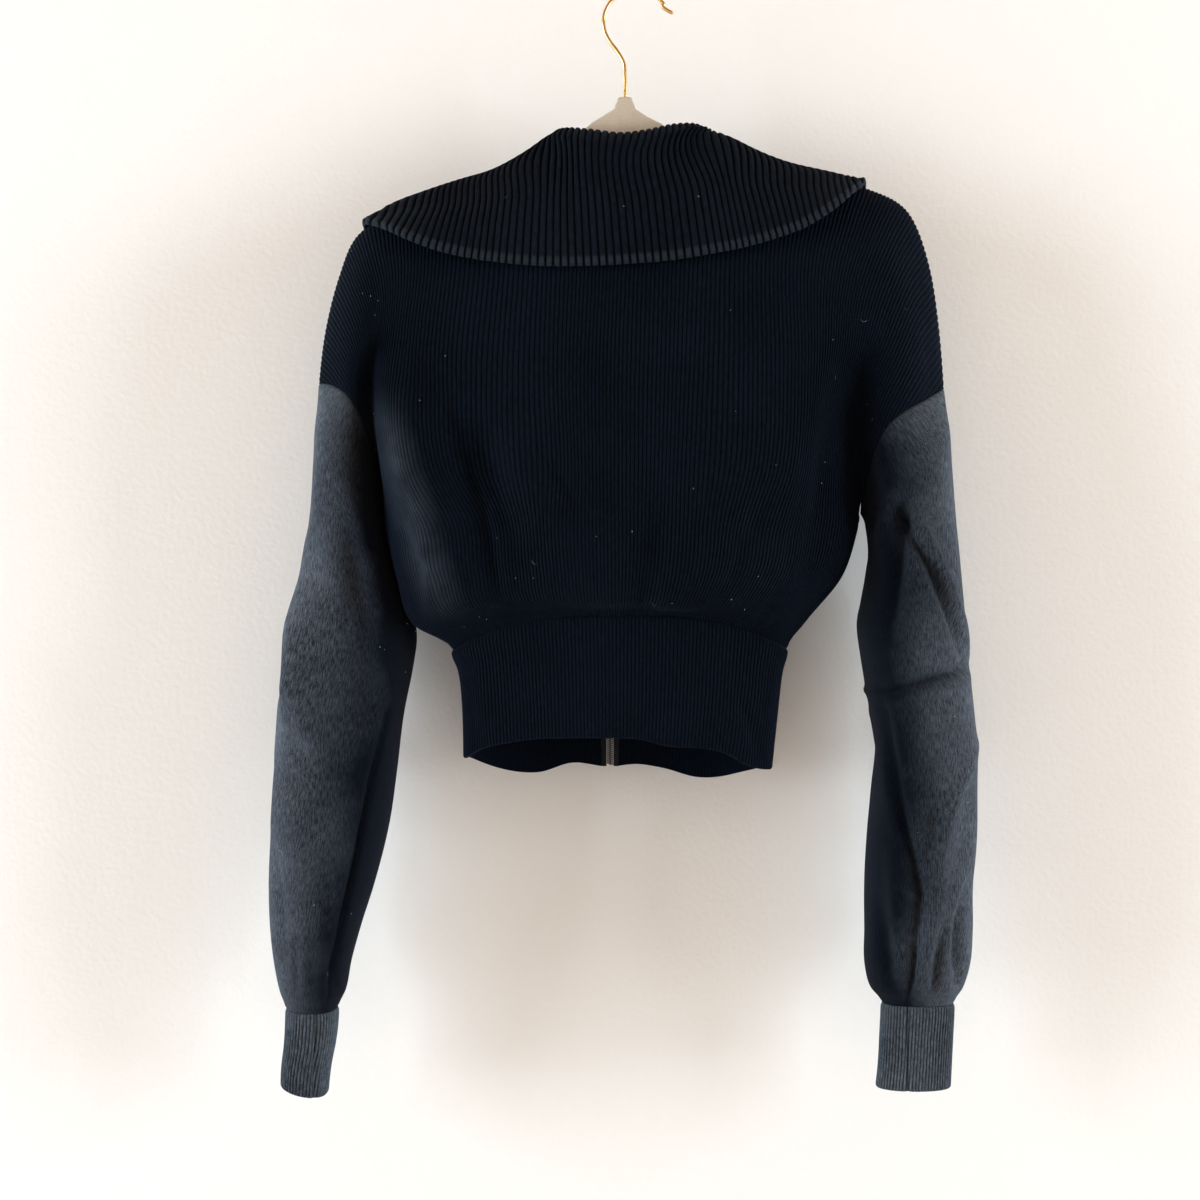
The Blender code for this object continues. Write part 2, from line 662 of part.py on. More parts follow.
def share_side_normals(normals, side, column):
    """Gives a panel's side column the normals that its neighbour has there too."""
    near = np.array([0.0, 0.02]) if column == 0 else np.array([0.98, 1.0])
    back = grid_normals(body_points(near, PANEL_ROWS, -1), 1)[:, column]
    front = grid_normals(body_points(near, PANEL_ROWS, 1), -1)[:, column]
    both = unit(back + front)
    normals[UPPER_STEPS + 1 :, column] = both[UPPER_STEPS + 1 :]
    loop = seam_normals("left" if column == 0 else "right")
    half = loop[: UPPER_STEPS + 1]
    if side > 0:
        half = np.concatenate([loop[:1], loop[: UPPER_STEPS - 1 : -1]])
    normals[: UPPER_STEPS + 1, column] = half


def ridge_normals(normals, x):
    """Straight up over the shoulder ridge, where back and front meet beside the neck."""
    over = (x < RIDGE_FROM[0]) | (x > RIDGE_FROM[1])
    tilt = normals[0, over]
    tilt[:, 1] = 0
    normals[0, over] = unit(tilt)


def level_last(normals):
    """Levels the last row's normals, where the cloth runs straight down into a seam."""
    normals[-1, :, 2] = 0
    normals[-1] = unit(normals[-1])


def make_back(material):
    points, normals = body_face(BACK_COLUMNS, PANEL_ROWS, -1)
    ridge_normals(normals, points[0, :, 0])
    share_side_normals(normals, -1, 0)
    share_side_normals(normals, -1, -1)
    level_last(normals)
    points = inset(points, ("top", "bottom", "left", "right"))
    return wall("back", points, normals, BODY_WALL, material)


def front_rows(u):
    """The front's rows at the columns u, which may run from either side."""
    order = np.argsort(u)
    rows = body_face(u[order], PANEL_ROWS, 1)[0]
    return rows if u[0] < u[-1] else rows[:, ::-1]


def make_front(hand, material):
    points = to_zip(front_rows, hand)
    normals = grid_normals(points, -1)
    ridge_normals(normals, points[0, :, 0])
    share_side_normals(normals, 1, 0 if hand == "left" else -1)
    middle = -1 if hand == "left" else 0
    normals[:, middle, 0] = 0
    normals[:, middle] = unit(normals[:, middle])
    level_last(normals)
    points = inset(points, ("top", "bottom", hand))
    return wall("front_" + hand, points, normals, BODY_WALL, material)


def part_from_body(points, normals, tree):
    """Moves a sleeve's places off the body's side where the two faces look at each other."""
    moved = points.copy()
    for index in np.ndindex(points.shape[:2]):
        if index[0] == 0:
            continue
        place, normal, _, distance = tree.find_nearest(Vector(points[index]))
        gap = normal.dot(Vector(points[index]) - place)
        facing = normal.dot(Vector(normals[index])) < 0.2
        if facing and distance < SLEEVE_REACH and gap < SLEEVE_CLEAR:
            moved[index] += np.array(normal) * (SLEEVE_CLEAR - gap)
    return moved


def make_sleeve(hand, material):
    points, normals = sleeve_face(hand)
    points = part_from_body(points, normals, body_tree())
    normals[0] = seam_normals(hand)
    level_last(normals)
    points = inset(points, ("top", "bottom"))
    from_armpit = np.abs(np.arange(points.shape[1]) - UPPER_STEPS)
    ease = ARMPIT_EASE * np.clip(1 - from_armpit / 5, 0, 1)
    points[0] += ease[:, None] * unit(points[1] - points[0])
    return wall("sleeve_" + hand, points, normals, SLEEVE_WALL, material, wrap=True)


def make_cuff(hand, material):
    seam = list(SLEEVES[hand][-1])
    seam[1] -= SEAM_GAP
    seam[3] -= SEAM_GAP
    places = np.arange(CUFF_COUNT) / CUFF_COUNT
    rings = np.stack([ellipse_ring(s, places) for s in [seam] + CUFFS[hand]])
    steps = np.linalg.norm(np.diff(rings, axis=0), axis=-1).mean(axis=1)
    knots = np.concatenate([[0], np.cumsum(steps)])
    down = np.broadcast_to((0.0, 0.0, -1.0), rings[0].shape)
    points = smooth(knots, rings, np.linspace(0, knots[-1], CUFF_STEPS + 1), first=down)
    normals = grid_normals(points, 1 if hand == "left" else -1, wrap=True)
    normals[..., 2] *= 0.3
    return wall("cuff_" + hand, points, unit(normals), RIB_WALL, material, wrap=True)


def band_points(u, side):
    """The waistband's outer face, from the seam to its wavy lower edge."""
    u = np.asarray(u, float)
    rows = np.stack([torso_row(s, u, side) for s in [TORSO[-1]] + BAND])
    rows[0, :, 2] -= SEAM_GAP
    rows[-1, :, 2] = np.interp(rows[-1, :, 0], HEM[:, 0], HEM[:, 1 if side < 0 else 2])
    steps = np.linalg.norm(np.diff(rows, axis=0), axis=-1).mean(axis=1)
    knots = np.concatenate([[0], np.cumsum(steps)])
    down = np.broadcast_to((0.0, 0.0, -1.0), rows[0].shape)
    return smooth(knots, rows, np.linspace(0, knots[-1], BAND_STEPS + 1), first=down)


def make_band(name, points, side, ends, material):
    normals = grid_normals(points, -side)
    normals[..., 2] = 0
    if "left" in ends:
        normals[:, 0] = (-1, 0, 0)
    if "right" in ends:
        normals[:, -1] = (1, 0, 0)
    points = inset(points, ends)
    return wall(name, points, unit(normals), RIB_WALL, material)


def body_tree():
    """A search tree of the body's outer faces, which sleeves and collar keep clear of."""
    columns = np.linspace(0, 1, 81)
    rows = WAIST * np.linspace(0, 1, 61) ** 1.3
    vertices, faces = [], []
    for side in (-1, 1):
        points, _ = body_face(columns, rows, side)
        start = len(vertices)
        vertices += [tuple(p) for p in points.reshape(-1, 3)]
        faces += grid_faces(len(rows), len(columns), start, flip=side > 0)
    return BVHTree.FromPolygons(vertices, faces)


def push_clear(points, tree, clear):
    """Moves points out from the body until they are this far from it."""
    moved = points.reshape(-1, 3).copy()
    for i, point in enumerate(moved):
        place, normal, _, _ = tree.find_nearest(Vector(point))
        gap = normal.dot(Vector(point) - place)
        if gap < clear:
            moved[i] = point + np.array(normal) * (clear - gap)
    return moved.reshape(points.shape)


def spread(values, reach):
    """Values averaged with a soft window along their second-last axis."""
    window = np.hanning(2 * reach + 3)[1:-1]
    window /= window.sum()
    pad = [(0, 0)] * values.ndim
    pad[-2] = (reach, reach)
    wide = np.pad(values, pad, mode="edge")
    count = values.shape[-2]
    return sum(w * wide[..., k : k + count, :] for k, w in enumerate(window))


def lay_over(points, tree, clear):
    """Lifts a face clear of the body as one soft surface, with no kinks between its columns."""
    lifted = points
    for _ in range(4):
        pushed = push_clear(lifted, tree, clear)
        lifted = points + 1.15 * spread(pushed - points, COLLAR_SPREAD)
    return push_clear(lifted, tree, clear)


def collar_face(ribs, tree):
    """The collar's smooth showing face: stand, fold and fall, as (row, rib, xyz)."""
    ribs = np.asarray(ribs, float)
    seam = smooth(NECK[:, 0], NECK[:, 2:5], ribs)
    fold = smooth(NECK[:, 0], NECK[:, 5:8], ribs)
    crest = smooth(FALL[:, 0], FALL[:, 1:4], ribs)
    edge = smooth(FALL[:, 0], FALL[:, 4:7], ribs)
    tangent = unit(np.gradient(fold, axis=0))
    up = fold - seam
    up = unit(up - tangent * (up * tangent).sum(axis=1, keepdims=True))
    out = crest - fold
    out -= tangent * (out * tangent).sum(axis=1, keepdims=True)
    out = unit(out - up * (out * up).sum(axis=1, keepdims=True))
    centre = fold - up * FOLD_RADIUS
    rows = []
    low = seam - out * COLLAR_WALL * 0.8 + up * STAND_LIFT
    top = centre - out * FOLD_RADIUS
    for share in STAND_SHARES:
        rows.append(low + (top - low) * share)
    for angle in ARC_ANGLES:
        a = math.radians(angle)
        rows.append(centre + FOLD_RADIUS * (up * math.sin(a) - out * math.cos(a)))
    start = centre + FOLD_RADIUS * (up * 0.35 + out * 0.93)
    first = start + (crest - start) * 0.5 + out * 2
    last = (crest + edge) / 2
    controls = np.stack([start, first, crest, last, edge])
    controls[1:] = lay_over(controls[1:], tree, COLLAR_WALL + COLLAR_CLEAR)
    fall = np.empty((len(FALL_SHARES), len(ribs), 3))
    for c in range(len(ribs)):
        steps = np.linalg.norm(np.diff(controls[:, c], axis=0), axis=1)
        knots = np.concatenate([[0], np.cumsum(np.maximum(steps, 0.5))])
        at = np.interp(FALL_SHARES, (0, CREST_SHARE, 1), knots[[0, 2, 4]])
        fall[:, c] = smooth(knots, controls[:, c], at)
    fall = lay_over(fall, tree, COLLAR_WALL + COLLAR_CLEAR)
    return np.concatenate([np.stack(rows), fall])


def stitch(fine, coarse, columns):
    """Triangles between a fine edge and a coarse one with vertices at only some columns."""
    faces = []
    for i in range(len(coarse) - 1):
        start, end = columns[i], columns[i + 1]
        middle = (start + end) // 2
        for k in range(start, end):
            base = coarse[i] if k < middle else coarse[i + 1]
            faces.append((fine[k], fine[k + 1], base))
        faces.append((fine[middle], coarse[i + 1], coarse[i]))
    return faces


def hidden_columns():
    """Columns of the collar's hidden side: some ribs, and each rib over the shoulder tips."""
    shared = set(NECK[:, 0])
    columns = []
    for rib in range(-COLLAR_RIBS, COLLAR_RIBS + 1):
        if rib in shared or rib % 4 == 0 or 30 <= abs(rib) <= 40:
            columns.append(2 * (rib + COLLAR_RIBS))
    return columns


def make_collar(material):
    """The collar as one piece: raised ribs on the fall, plain on its other faces."""
    fine_ribs = np.linspace(-COLLAR_RIBS, COLLAR_RIBS, 4 * COLLAR_RIBS + 1)
    tree = body_tree()
    smooth_face = collar_face(fine_ribs, tree)
    normals = grid_normals(smooth_face, 1)
    first_fall = len(STAND_SHARES) + len(ARC_ANGLES)
    crest_row = first_fall - 1
    raised = np.cos(2 * math.pi * fine_ribs) / 2
    ribs = smooth_face[crest_row:] + normals[crest_row:] * (raised * RIB_RISE)[None, :, None]
    columns = hidden_columns()
    coarse = smooth_face[:, columns]
    hidden = coarse - normals[:, columns] * COLLAR_WALL
    hidden[first_fall:] = push_clear(hidden[first_fall:], tree, COLLAR_CLEAR / 2)
    rows = [hidden[r] for r in range(len(hidden) - 1, -1, -1)]
    rows += [coarse[r] for r in range(crest_row)]
    rows = np.stack(rows)
    fine_count = ribs.shape[0] * ribs.shape[1]
    vertices = np.concatenate([ribs.reshape(-1, 3), rows.reshape(-1, 3)])
    faces = grid_faces(ribs.shape[0], ribs.shape[1], 0)
    faces += grid_faces(rows.shape[0], rows.shape[1], fine_count)
    width, narrow = ribs.shape[1], rows.shape[1]
    last_fine = [(ribs.shape[0] - 1) * width + c for c in range(width)]
    first_coarse = [fine_count + c for c in range(narrow)]
    faces += stitch(last_fine, first_coarse, columns)
    last_coarse = [fine_count + (rows.shape[0] - 1) * narrow + c for c in range(narrow)]
    faces += [f[::-1] for f in stitch(list(range(width)), last_coarse, columns)]
    for fine_column, column in ((0, 0), (width - 1, narrow - 1)):
        loop = [r * width + fine_column for r in range(ribs.shape[0])]
        loop += [fine_count + r * narrow + column for r in range(rows.shape[0])]
        faces.append(tuple(loop))
    return scene_mesh("collar", vertices, faces, material, sharp=20)


def zip_path():
    """The closed zip's line down the middle of the front, its normals and directions."""
    near = np.array((0.497, 0.5, 0.503))
    body = body_face(near, PANEL_ROWS, 1)[0][:, 1]
    band = band_points(near, 1)[:, 1]
    path = np.concatenate([body[:-1], band])
    down = unit(np.gradient(path, axis=0))
    across = np.array((1.0, 0, 0))
    normal = unit(np.cross(across, down))
    return path, normal, down


def strip(name, path, normals, inner, outer, depth, material):
    """A flat strip along the zip between two distances from its middle."""
    across = np.array((1.0, 0, 0))
    corners = [(inner, depth[0]), (outer, depth[0]), (outer, depth[1]), (inner, depth[1])]
    rings = [path + across * x + normals * d for x, d in corners]
    vertices = np.stack(rings, axis=1).reshape(-1, 3)
    count = len(path)
    faces = grid_faces(count, 4, 0, wrap=True)
    faces.append((0, 1, 2, 3))
    faces.append(tuple((count - 1) * 4 + k for k in (3, 2, 1, 0)))
    return scene_mesh(name, vertices, faces, material)


def box_mesh(name, low, high, frame, material, bevel=0.0):
    """A box given in a local frame (origin, x, down, out), in millimetres."""
    origin, axes = frame
    mesh = bpy.data.meshes.new(name)
    work = bmesh.new()
    bmesh.ops.create_cube(work, size=1)
    low, high = np.asarray(low, float), np.asarray(high, float)
    for vertex in work.verts:
        local = (low + high) / 2 + np.array(vertex.co) * (high - low)
        vertex.co = Vector((origin + local @ axes) * MM)
    bmesh.ops.recalc_face_normals(work, faces=work.faces)
    work.to_mesh(mesh)
    work.free()
    obj = add_object(name, mesh, material)
    if bevel:
        edge = obj.modifiers.new("edge", "BEVEL")
        edge.width = bevel * MM
        edge.segments = 2
    return obj


def slider_frame():
    """The slider's place on the chain and its axes: across, down the zip, out of it."""
    path, normals, down = zip_path()
    length = np.concatenate([[0], np.cumsum(np.linalg.norm(np.diff(path, axis=0), axis=1))])
    place = np.array([np.interp(SLIDER_DOWN, length, path[:, k]) for k in range(3)])
    out = unit(np.array([np.interp(SLIDER_DOWN, length, normals[:, k]) for k in range(3)]))
    across = np.array((1.0, 0, 0))
    along = unit(np.cross(out, across))
    if along[2] > 0:
        along = -along
    origin = place + out * (CHAIN_DEPTH[1] + SEAM_GAP)
    return origin, np.stack([across, along, out])


def make_slider(material):
    """The slider: a rounded block with an arch that holds the pull tab."""
    frame = slider_frame()
    half_x, half_z = SLIDER_HALF
    block = box_mesh("slider", (-half_x, -half_z, 0), (half_x, half_z, SLIDER_RISE), frame,
                     material, SLIDER_EDGE)
    side, end = ARCH_WIRE / 2, ARCH_HALF - ARCH_WIRE
    legs = [
        ((-side, -ARCH_HALF, ARCH_ROOT), (side, -end, ARCH_RISE)),
        ((-side, end, ARCH_ROOT), (side, ARCH_HALF, ARCH_RISE)),
        ((-side, -ARCH_HALF, ARCH_RISE - ARCH_WIRE), (side, ARCH_HALF, ARCH_RISE)),
    ]
    for number, (low, high) in enumerate(legs):
        part = box_mesh(f"arch_{number}", low, high, frame, material)
        part.hide_render = True
        part.display_type = "WIRE"
        join = block.modifiers.new(part.name, "BOOLEAN")
        join.operation = "UNION"
        join.object = part
        bpy.data.collections[COLLECTION].objects.unlink(part)
        bpy.data.collections["cutters"].objects.link(part)
    return block


def pivot_place():
    origin, axes = slider_frame()
    return origin + axes[2] * PIVOT_RISE


def rounded_outline(half, low, high, radius, steps=4):
    """An upright rounded rectangle's corner points."""
    points = []
    for cx, cz, start in (
        (half - radius, high - radius, 0),
        (-half + radius, high - radius, 90),
        (-half + radius, low + radius, 180),
        (half - radius, low + radius, 270),
    ):
        for k in range(steps + 1):
            a = math.radians(start + 90 * k / steps)
            points.append((cx + radius * math.cos(a), cz + radius * math.sin(a)))
    return points


def flat_curve(name, outlines, thickness, place, material):
    """An upright plate from closed outlines in x and z, extruded along y."""
    curve = bpy.data.curves.new(name, "CURVE")
    curve.dimensions = "2D"
    curve.fill_mode = "BOTH"
    curve.extrude = thickness / 2 * MM
    for outline in outlines:
        spline = curve.splines.new("POLY")
        spline.points.add(len(outline) - 1)
        for point, (x, z) in zip(spline.points, outline):
            point.co = (x * MM, z * MM, 0, 1)
        spline.use_cyclic_u = True
    obj = add_object(name, curve, material)
    obj.rotation_euler = (math.pi / 2, 0, 0)
    obj.location = Vector(place) * MM
    return obj


def make_tab(material):
    """The pull tab, hanging straight down from its bar under the slider's arch."""
    window_half, window_low = TAB_WINDOW
    eye_half, eye_low, eye_high = TAB_EYE
    bar = TAB_THICK / 2
    outer = rounded_outline(TAB_HALF, -TAB_LENGTH, bar, TAB_CORNER)
    hole = rounded_outline(window_half, -window_low, -bar, 0.4, 2)[::-1]
    eye = rounded_outline(eye_half, eye_low - TAB_LENGTH, eye_high - TAB_LENGTH, 1.55)[::-1]
    return flat_curve("pull_tab", [outer, hole, eye], TAB_THICK, pivot_place(), material)


def make_hanger(material):
    """The hanger: a flat plate with a hump and a socket for the hook."""
    outline = HANGER_TOP + HANGER_BOTTOM
    return flat_curve("hanger_body", [outline], 2 * HANGER_HALF, (0, 0, 0), material)


def make_hook(material):
    """The wire hook: a stem, a round arch and a flared tip."""
    curve = bpy.data.curves.new("hanger_hook", "CURVE")
    curve.dimensions = "3D"
    curve.bevel_depth = HOOK_WIRE * MM
    curve.bevel_resolution = 2
    curve.use_fill_caps = True
    arch = []
    for k in range(19):
        a = math.radians(198 - 166 * k / 18)
        arch.append((HOOK_RADIUS * math.cos(a), HOOK_CENTRE_Z + HOOK_RADIUS * math.sin(a)))
    route = HOOK_STEM + arch + HOOK_TIP
    spline = curve.splines.new("POLY")
    spline.points.add(len(route) - 1)
    for point, (x, z) in zip(spline.points, route):
        point.co = (x * MM, 0, z * MM, 1)
    return add_object("hanger_hook", curve, material)


def clear_scene():
    for obj in list(bpy.data.objects):
        bpy.data.objects.remove(obj, do_unlink=True)
    for name in (COLLECTION, "cutters"):
        bpy.context.scene.collection.children.link(bpy.data.collections.new(name))


def make_jacket():
    fine_rib = make_material("fine_rib_knit", (0.021, 0.023, 0.028), 0.9)
    plain = make_material("brushed_knit", (0.020, 0.022, 0.026), 0.95)
    chunky = make_material("chunky_rib_knit", (0.024, 0.027, 0.032), 0.9)
    tape = make_material("zip_tape", (0.02, 0.02, 0.022), 0.8)
    metal = make_material("dark_metal", (0.16, 0.16, 0.17), 0.35, 1.0)
    flock = make_material("hanger_flock", (0.42, 0.38, 0.33), 1.0)
    gold = make_material("gold_wire", (0.80, 0.55, 0.25), 0.25, 1.0)
    make_back(fine_rib)
    for hand in ("left", "right"):
        make_front(hand, fine_rib)
        make_sleeve(hand, plain)
        make_cuff(hand, fine_rib)
    make_band("waistband_back", band_points(BACK_COLUMNS, -1), -1, ("left", "right"), fine_rib)
    for hand in ("left", "right"):
        half = to_zip(lambda u: band_points(u, 1), hand)
        make_band("waistband_front_" + hand, half, 1, (hand,), fine_rib)
    make_collar(chunky)
    path, normals, _ = zip_path()
    strip("zip_chain", path, normals, -ZIP_HALF, ZIP_HALF, CHAIN_DEPTH, metal)
    strip("zip_tape_left", path, normals, -TAPE_OUTER, -TAPE_INNER, TAPE_DEPTH, tape)
    strip("zip_tape_right", path, normals, TAPE_INNER, TAPE_OUTER, TAPE_DEPTH, tape)
    make_slider(metal)
    make_tab(metal)
    make_hanger(flock)
    make_hook(gold)


clear_scene()
make_jacket()
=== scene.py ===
"""Looks of a cropped knit zip jacket with a wide rib collar, hung on a flocked hanger.

Lengths are in millimetres and are turned into metres where a mesh is made. +Z is up, +X is to
the right as the jacket is seen from behind, and +Y points out of its zipped front.
"""

import math

import bmesh
import bpy
import numpy as np
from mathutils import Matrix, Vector
from mathutils.bvhtree import BVHTree


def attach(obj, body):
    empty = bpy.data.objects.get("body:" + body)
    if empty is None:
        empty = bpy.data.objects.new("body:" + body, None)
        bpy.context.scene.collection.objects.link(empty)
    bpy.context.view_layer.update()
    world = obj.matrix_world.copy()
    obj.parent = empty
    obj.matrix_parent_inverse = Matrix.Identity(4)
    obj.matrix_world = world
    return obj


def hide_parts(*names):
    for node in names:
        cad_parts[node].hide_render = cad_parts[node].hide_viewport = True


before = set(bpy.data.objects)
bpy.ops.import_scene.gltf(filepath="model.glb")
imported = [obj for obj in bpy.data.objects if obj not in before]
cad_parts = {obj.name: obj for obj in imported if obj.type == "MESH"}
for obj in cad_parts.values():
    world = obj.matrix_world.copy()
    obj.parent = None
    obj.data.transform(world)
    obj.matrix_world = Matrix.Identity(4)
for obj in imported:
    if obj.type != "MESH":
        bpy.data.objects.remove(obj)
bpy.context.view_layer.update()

MM = 0.001

# ---------------------------------------------------------------- hanger and hook
# A flat moulded hanger with a short greige nap and fully rounded edges. Its hump stands in the
# collar's opening, and a gold wire hook is pushed into the socket on top.

HANGER_HALF = 2.5
HANGER_TOP = [
    (-205, -200), (-200, -188), (-183, -172.5), (-141, -156.8), (-100, -143.8), (-66, -135),
    (-57, -133), (-50, -128), (-46, -118), (-43, -108), (-34, -100), (-24, -94), (-16, -89),
    (-14, -80.3), (-3, -80.3), (-1, -89), (8, -95), (20, -101), (29, -108), (35, -118),
    (41, -127), (56, -130.5), (94, -137.2), (136, -147.4), (173, -159.5), (195, -174.5),
    (203, -188),
]
HANGER_BOTTOM = [
    (203, -201), (188, -193), (170, -178), (135, -166), (92, -157), (50, -152),
    (-9, -147), (-58, -155), (-100, -165), (-141, -178), (-180, -193), (-203, -211),
]
HOOK_WIRE = 1.5
HOOK_RADIUS = 24.7
HOOK_CENTRE_Z = -23.2
HOOK_STEM = [(-8.4, -80), (-8.4, -66), (-9.5, -54), (-14.5, -45), (-20.5, -37)]
HOOK_TIP = [(20.2, -10.6), (24, -14.4), (28.5, -16.6)]
TIP_TAPER = (0.97, 0.8, 0.45)
BODY = "jacket"


def smooth(knots, values, at, first=None, last=None):
    """A smooth curve through values at increasing knots, read at the places `at`."""
    knots = np.asarray(knots, float)
    values = np.asarray(values, float)
    at = np.asarray(at, float)
    shape = (-1,) + (1,) * (values.ndim - 1)
    step = np.diff(knots).reshape(shape)
    slope = np.diff(values, axis=0) / step
    tangent = np.empty_like(values)
    tangent[1:-1] = (slope[:-1] * step[1:] + slope[1:] * step[:-1]) / (step[1:] + step[:-1])
    tangent[0] = 1.5 * slope[0] - 0.5 * tangent[1] if first is None else first
    tangent[-1] = 1.5 * slope[-1] - 0.5 * tangent[-2] if last is None else last
    i = np.clip(np.searchsorted(knots, at, side="right") - 1, 0, len(knots) - 2)
    h = step[i]
    s = (at - knots[i]).reshape(shape) / h
    return (
        (2 * s**3 - 3 * s**2 + 1) * values[i]
        + (s**3 - 2 * s**2 + s) * h * tangent[i]
        + (3 * s**2 - 2 * s**3) * values[i + 1]
        + (s**3 - s**2) * h * tangent[i + 1]
    )


def unit(vectors):
    return vectors / np.maximum(np.linalg.norm(vectors, axis=-1, keepdims=True), 1e-9)


def lengths_along(points):
    """How far each place of a path is from its start, or each row of a grid from the first, by
    the mean of its columns."""
    steps = np.linalg.norm(np.diff(points, axis=0), axis=-1)
    return np.concatenate([[0], np.cumsum(steps.reshape(len(steps), -1).mean(axis=1))])


def raw_mesh(name, points, triangles, material, uv=None, sharp=60):
    """A mesh object from millimetre points: places that coincide are merged, faces that have
    collapsed are dropped, and the rest are turned outwards."""
    keys, first, merged = np.unique(
        np.round(points * 1e3).astype(np.int64), axis=0, return_index=True, return_inverse=True
    )
    corners = merged.reshape(-1)[triangles]
    a, b, c = corners.T
    kept = (a != b) & (b != c) & (a != c)
    corners = corners[kept]
    mesh = bpy.data.meshes.new(name)
    mesh.vertices.add(len(keys))
    mesh.vertices.foreach_set("co", (points[first] * MM).reshape(-1))
    mesh.loops.add(corners.size)
    mesh.loops.foreach_set("vertex_index", corners.reshape(-1).astype(np.int32))
    mesh.polygons.add(len(corners))
    mesh.polygons.foreach_set("loop_start", np.arange(0, corners.size, 3, dtype=np.int32))
    mesh.update(calc_edges=True)
    if uv is not None:
        layer = mesh.uv_layers.new(name="cloth")
        layer.data.foreach_set("uv", uv[triangles[kept].reshape(-1)].reshape(-1))
    work = bmesh.new()
    work.from_mesh(mesh)
    bmesh.ops.recalc_face_normals(work, faces=work.faces)
    work.to_mesh(mesh)
    work.free()
    mesh.shade_smooth()
    mesh.set_sharp_from_angle(angle=math.radians(sharp))
    mesh.materials.append(material)
    piece = bpy.data.objects.new(name, mesh)
    bpy.context.scene.collection.objects.link(piece)
    return piece


def grid_triangles(rows, columns, start=0):
    """Two triangles for each square of a grid of points stored row by row."""
    index = start + np.arange(rows * columns).reshape(rows, columns)
    a, b = index[:-1, :-1].reshape(-1), index[1:, :-1].reshape(-1)
    c, d = index[1:, 1:].reshape(-1), index[:-1, 1:].reshape(-1)
    return np.concatenate([np.stack([a, b, c], 1), np.stack([a, c, d], 1)])


def grids_mesh(name, grids, material, sharp=60):
    """One mesh of equal grids, given as (grid, row, column, xyz)."""
    count, rows, columns = grids.shape[:3]
    starts = (np.arange(count) * rows * columns)[:, None, None]
    triangles = (grid_triangles(rows, columns) + starts).reshape(-1, 3)
    return raw_mesh(name, grids.reshape(-1, 3), triangles, material, sharp=sharp)


def tube(name, path, radii, sides, material):
    """A round tube: circles about each place of a path that lies in the X-Z plane, from the
    path's own side direction and Y, closed by a point at each end."""
    along = unit(np.gradient(path, axis=0))
    side = np.stack([along[:, 2], np.zeros(len(path)), -along[:, 0]], axis=1)
    turn = np.linspace(0, 2 * math.pi, sides + 1)
    deep = np.array((0.0, 1.0, 0.0))
    circle = np.cos(turn)[None, :, None] * side[:, None] + np.sin(turn)[None, :, None] * deep
    rings = path[:, None] + circle * np.asarray(radii)[:, None, None]
    ends = [np.repeat(path[k][None, None], sides + 1, axis=1) for k in (0, -1)]
    return grids_mesh(name, np.concatenate([ends[0], rings, ends[1]])[None], material)


def new_group(name, inputs, outputs):
    """An empty shader node group with named sockets, and its two end nodes."""
    tree = bpy.data.node_groups.new(name, "ShaderNodeTree")
    for label, kind, value in inputs:
        socket = tree.interface.new_socket(label, in_out="INPUT", socket_type=kind)
        if value is not None:
            socket.default_value = value
    for label, kind in outputs:
        tree.interface.new_socket(label, in_out="OUTPUT", socket_type=kind)
    return tree, tree.nodes.new("NodeGroupInput"), tree.nodes.new("NodeGroupOutput")


def set_inputs(tree, node, inputs):
    """Links each named or numbered input of a node to a socket, or sets it to a value."""
    for label, value in inputs.items():
        if isinstance(value, bpy.types.NodeSocket):
            tree.links.new(value, node.inputs[label])
        else:
            node.inputs[label].default_value = value


def add_node(tree, kind, inputs=(), **settings):
    node = tree.nodes.new("ShaderNode" + kind)
    for name, value in settings.items():
        setattr(node, name, value)
    set_inputs(tree, node, dict(inputs))
    return node


def math_of(tree, operation, *values):
    return add_node(tree, "Math", enumerate(values), operation=operation).outputs[0]


def noise_of(tree, coordinates, scale, detail=2.0, roughness=0.5):
    inputs = {"Vector": coordinates, "Scale": scale, "Detail": detail, "Roughness": roughness}
    return add_node(tree, "TexNoise", inputs).outputs["Fac"]


def ramp_of(tree, value, low, high):
    """A value carried from low..high to 0..1, and held there outside it."""
    inputs = {"Value": value, "From Min": low, "From Max": high}
    return add_node(tree, "MapRange", inputs).outputs["Result"]


def mix_of(tree, share, low, high):
    """Two colours, or sockets, mixed by a share."""
    low, high = [(*v, 1) if isinstance(v, tuple) else v for v in (low, high)]
    inputs = {"Factor": share, "A": low, "B": high}
    return add_node(tree, "Mix", inputs, data_type="RGBA").outputs["Result"]


def new_material(name):
    """A material with its Principled shader and an Object coordinates socket."""
    material = bpy.data.materials.new(name)
    material.use_nodes = True
    tree = material.node_tree
    shader = tree.nodes["Principled BSDF"]
    return material, tree, shader, add_node(tree, "TexCoord").outputs["Object"]


def bump_of(tree, shader, height, distance, strength=1.0):
    inputs = {"Distance": distance, "Strength": strength, "Height": height}
    set_inputs(tree, shader, {"Normal": add_node(tree, "Bump", inputs).outputs["Normal"]})


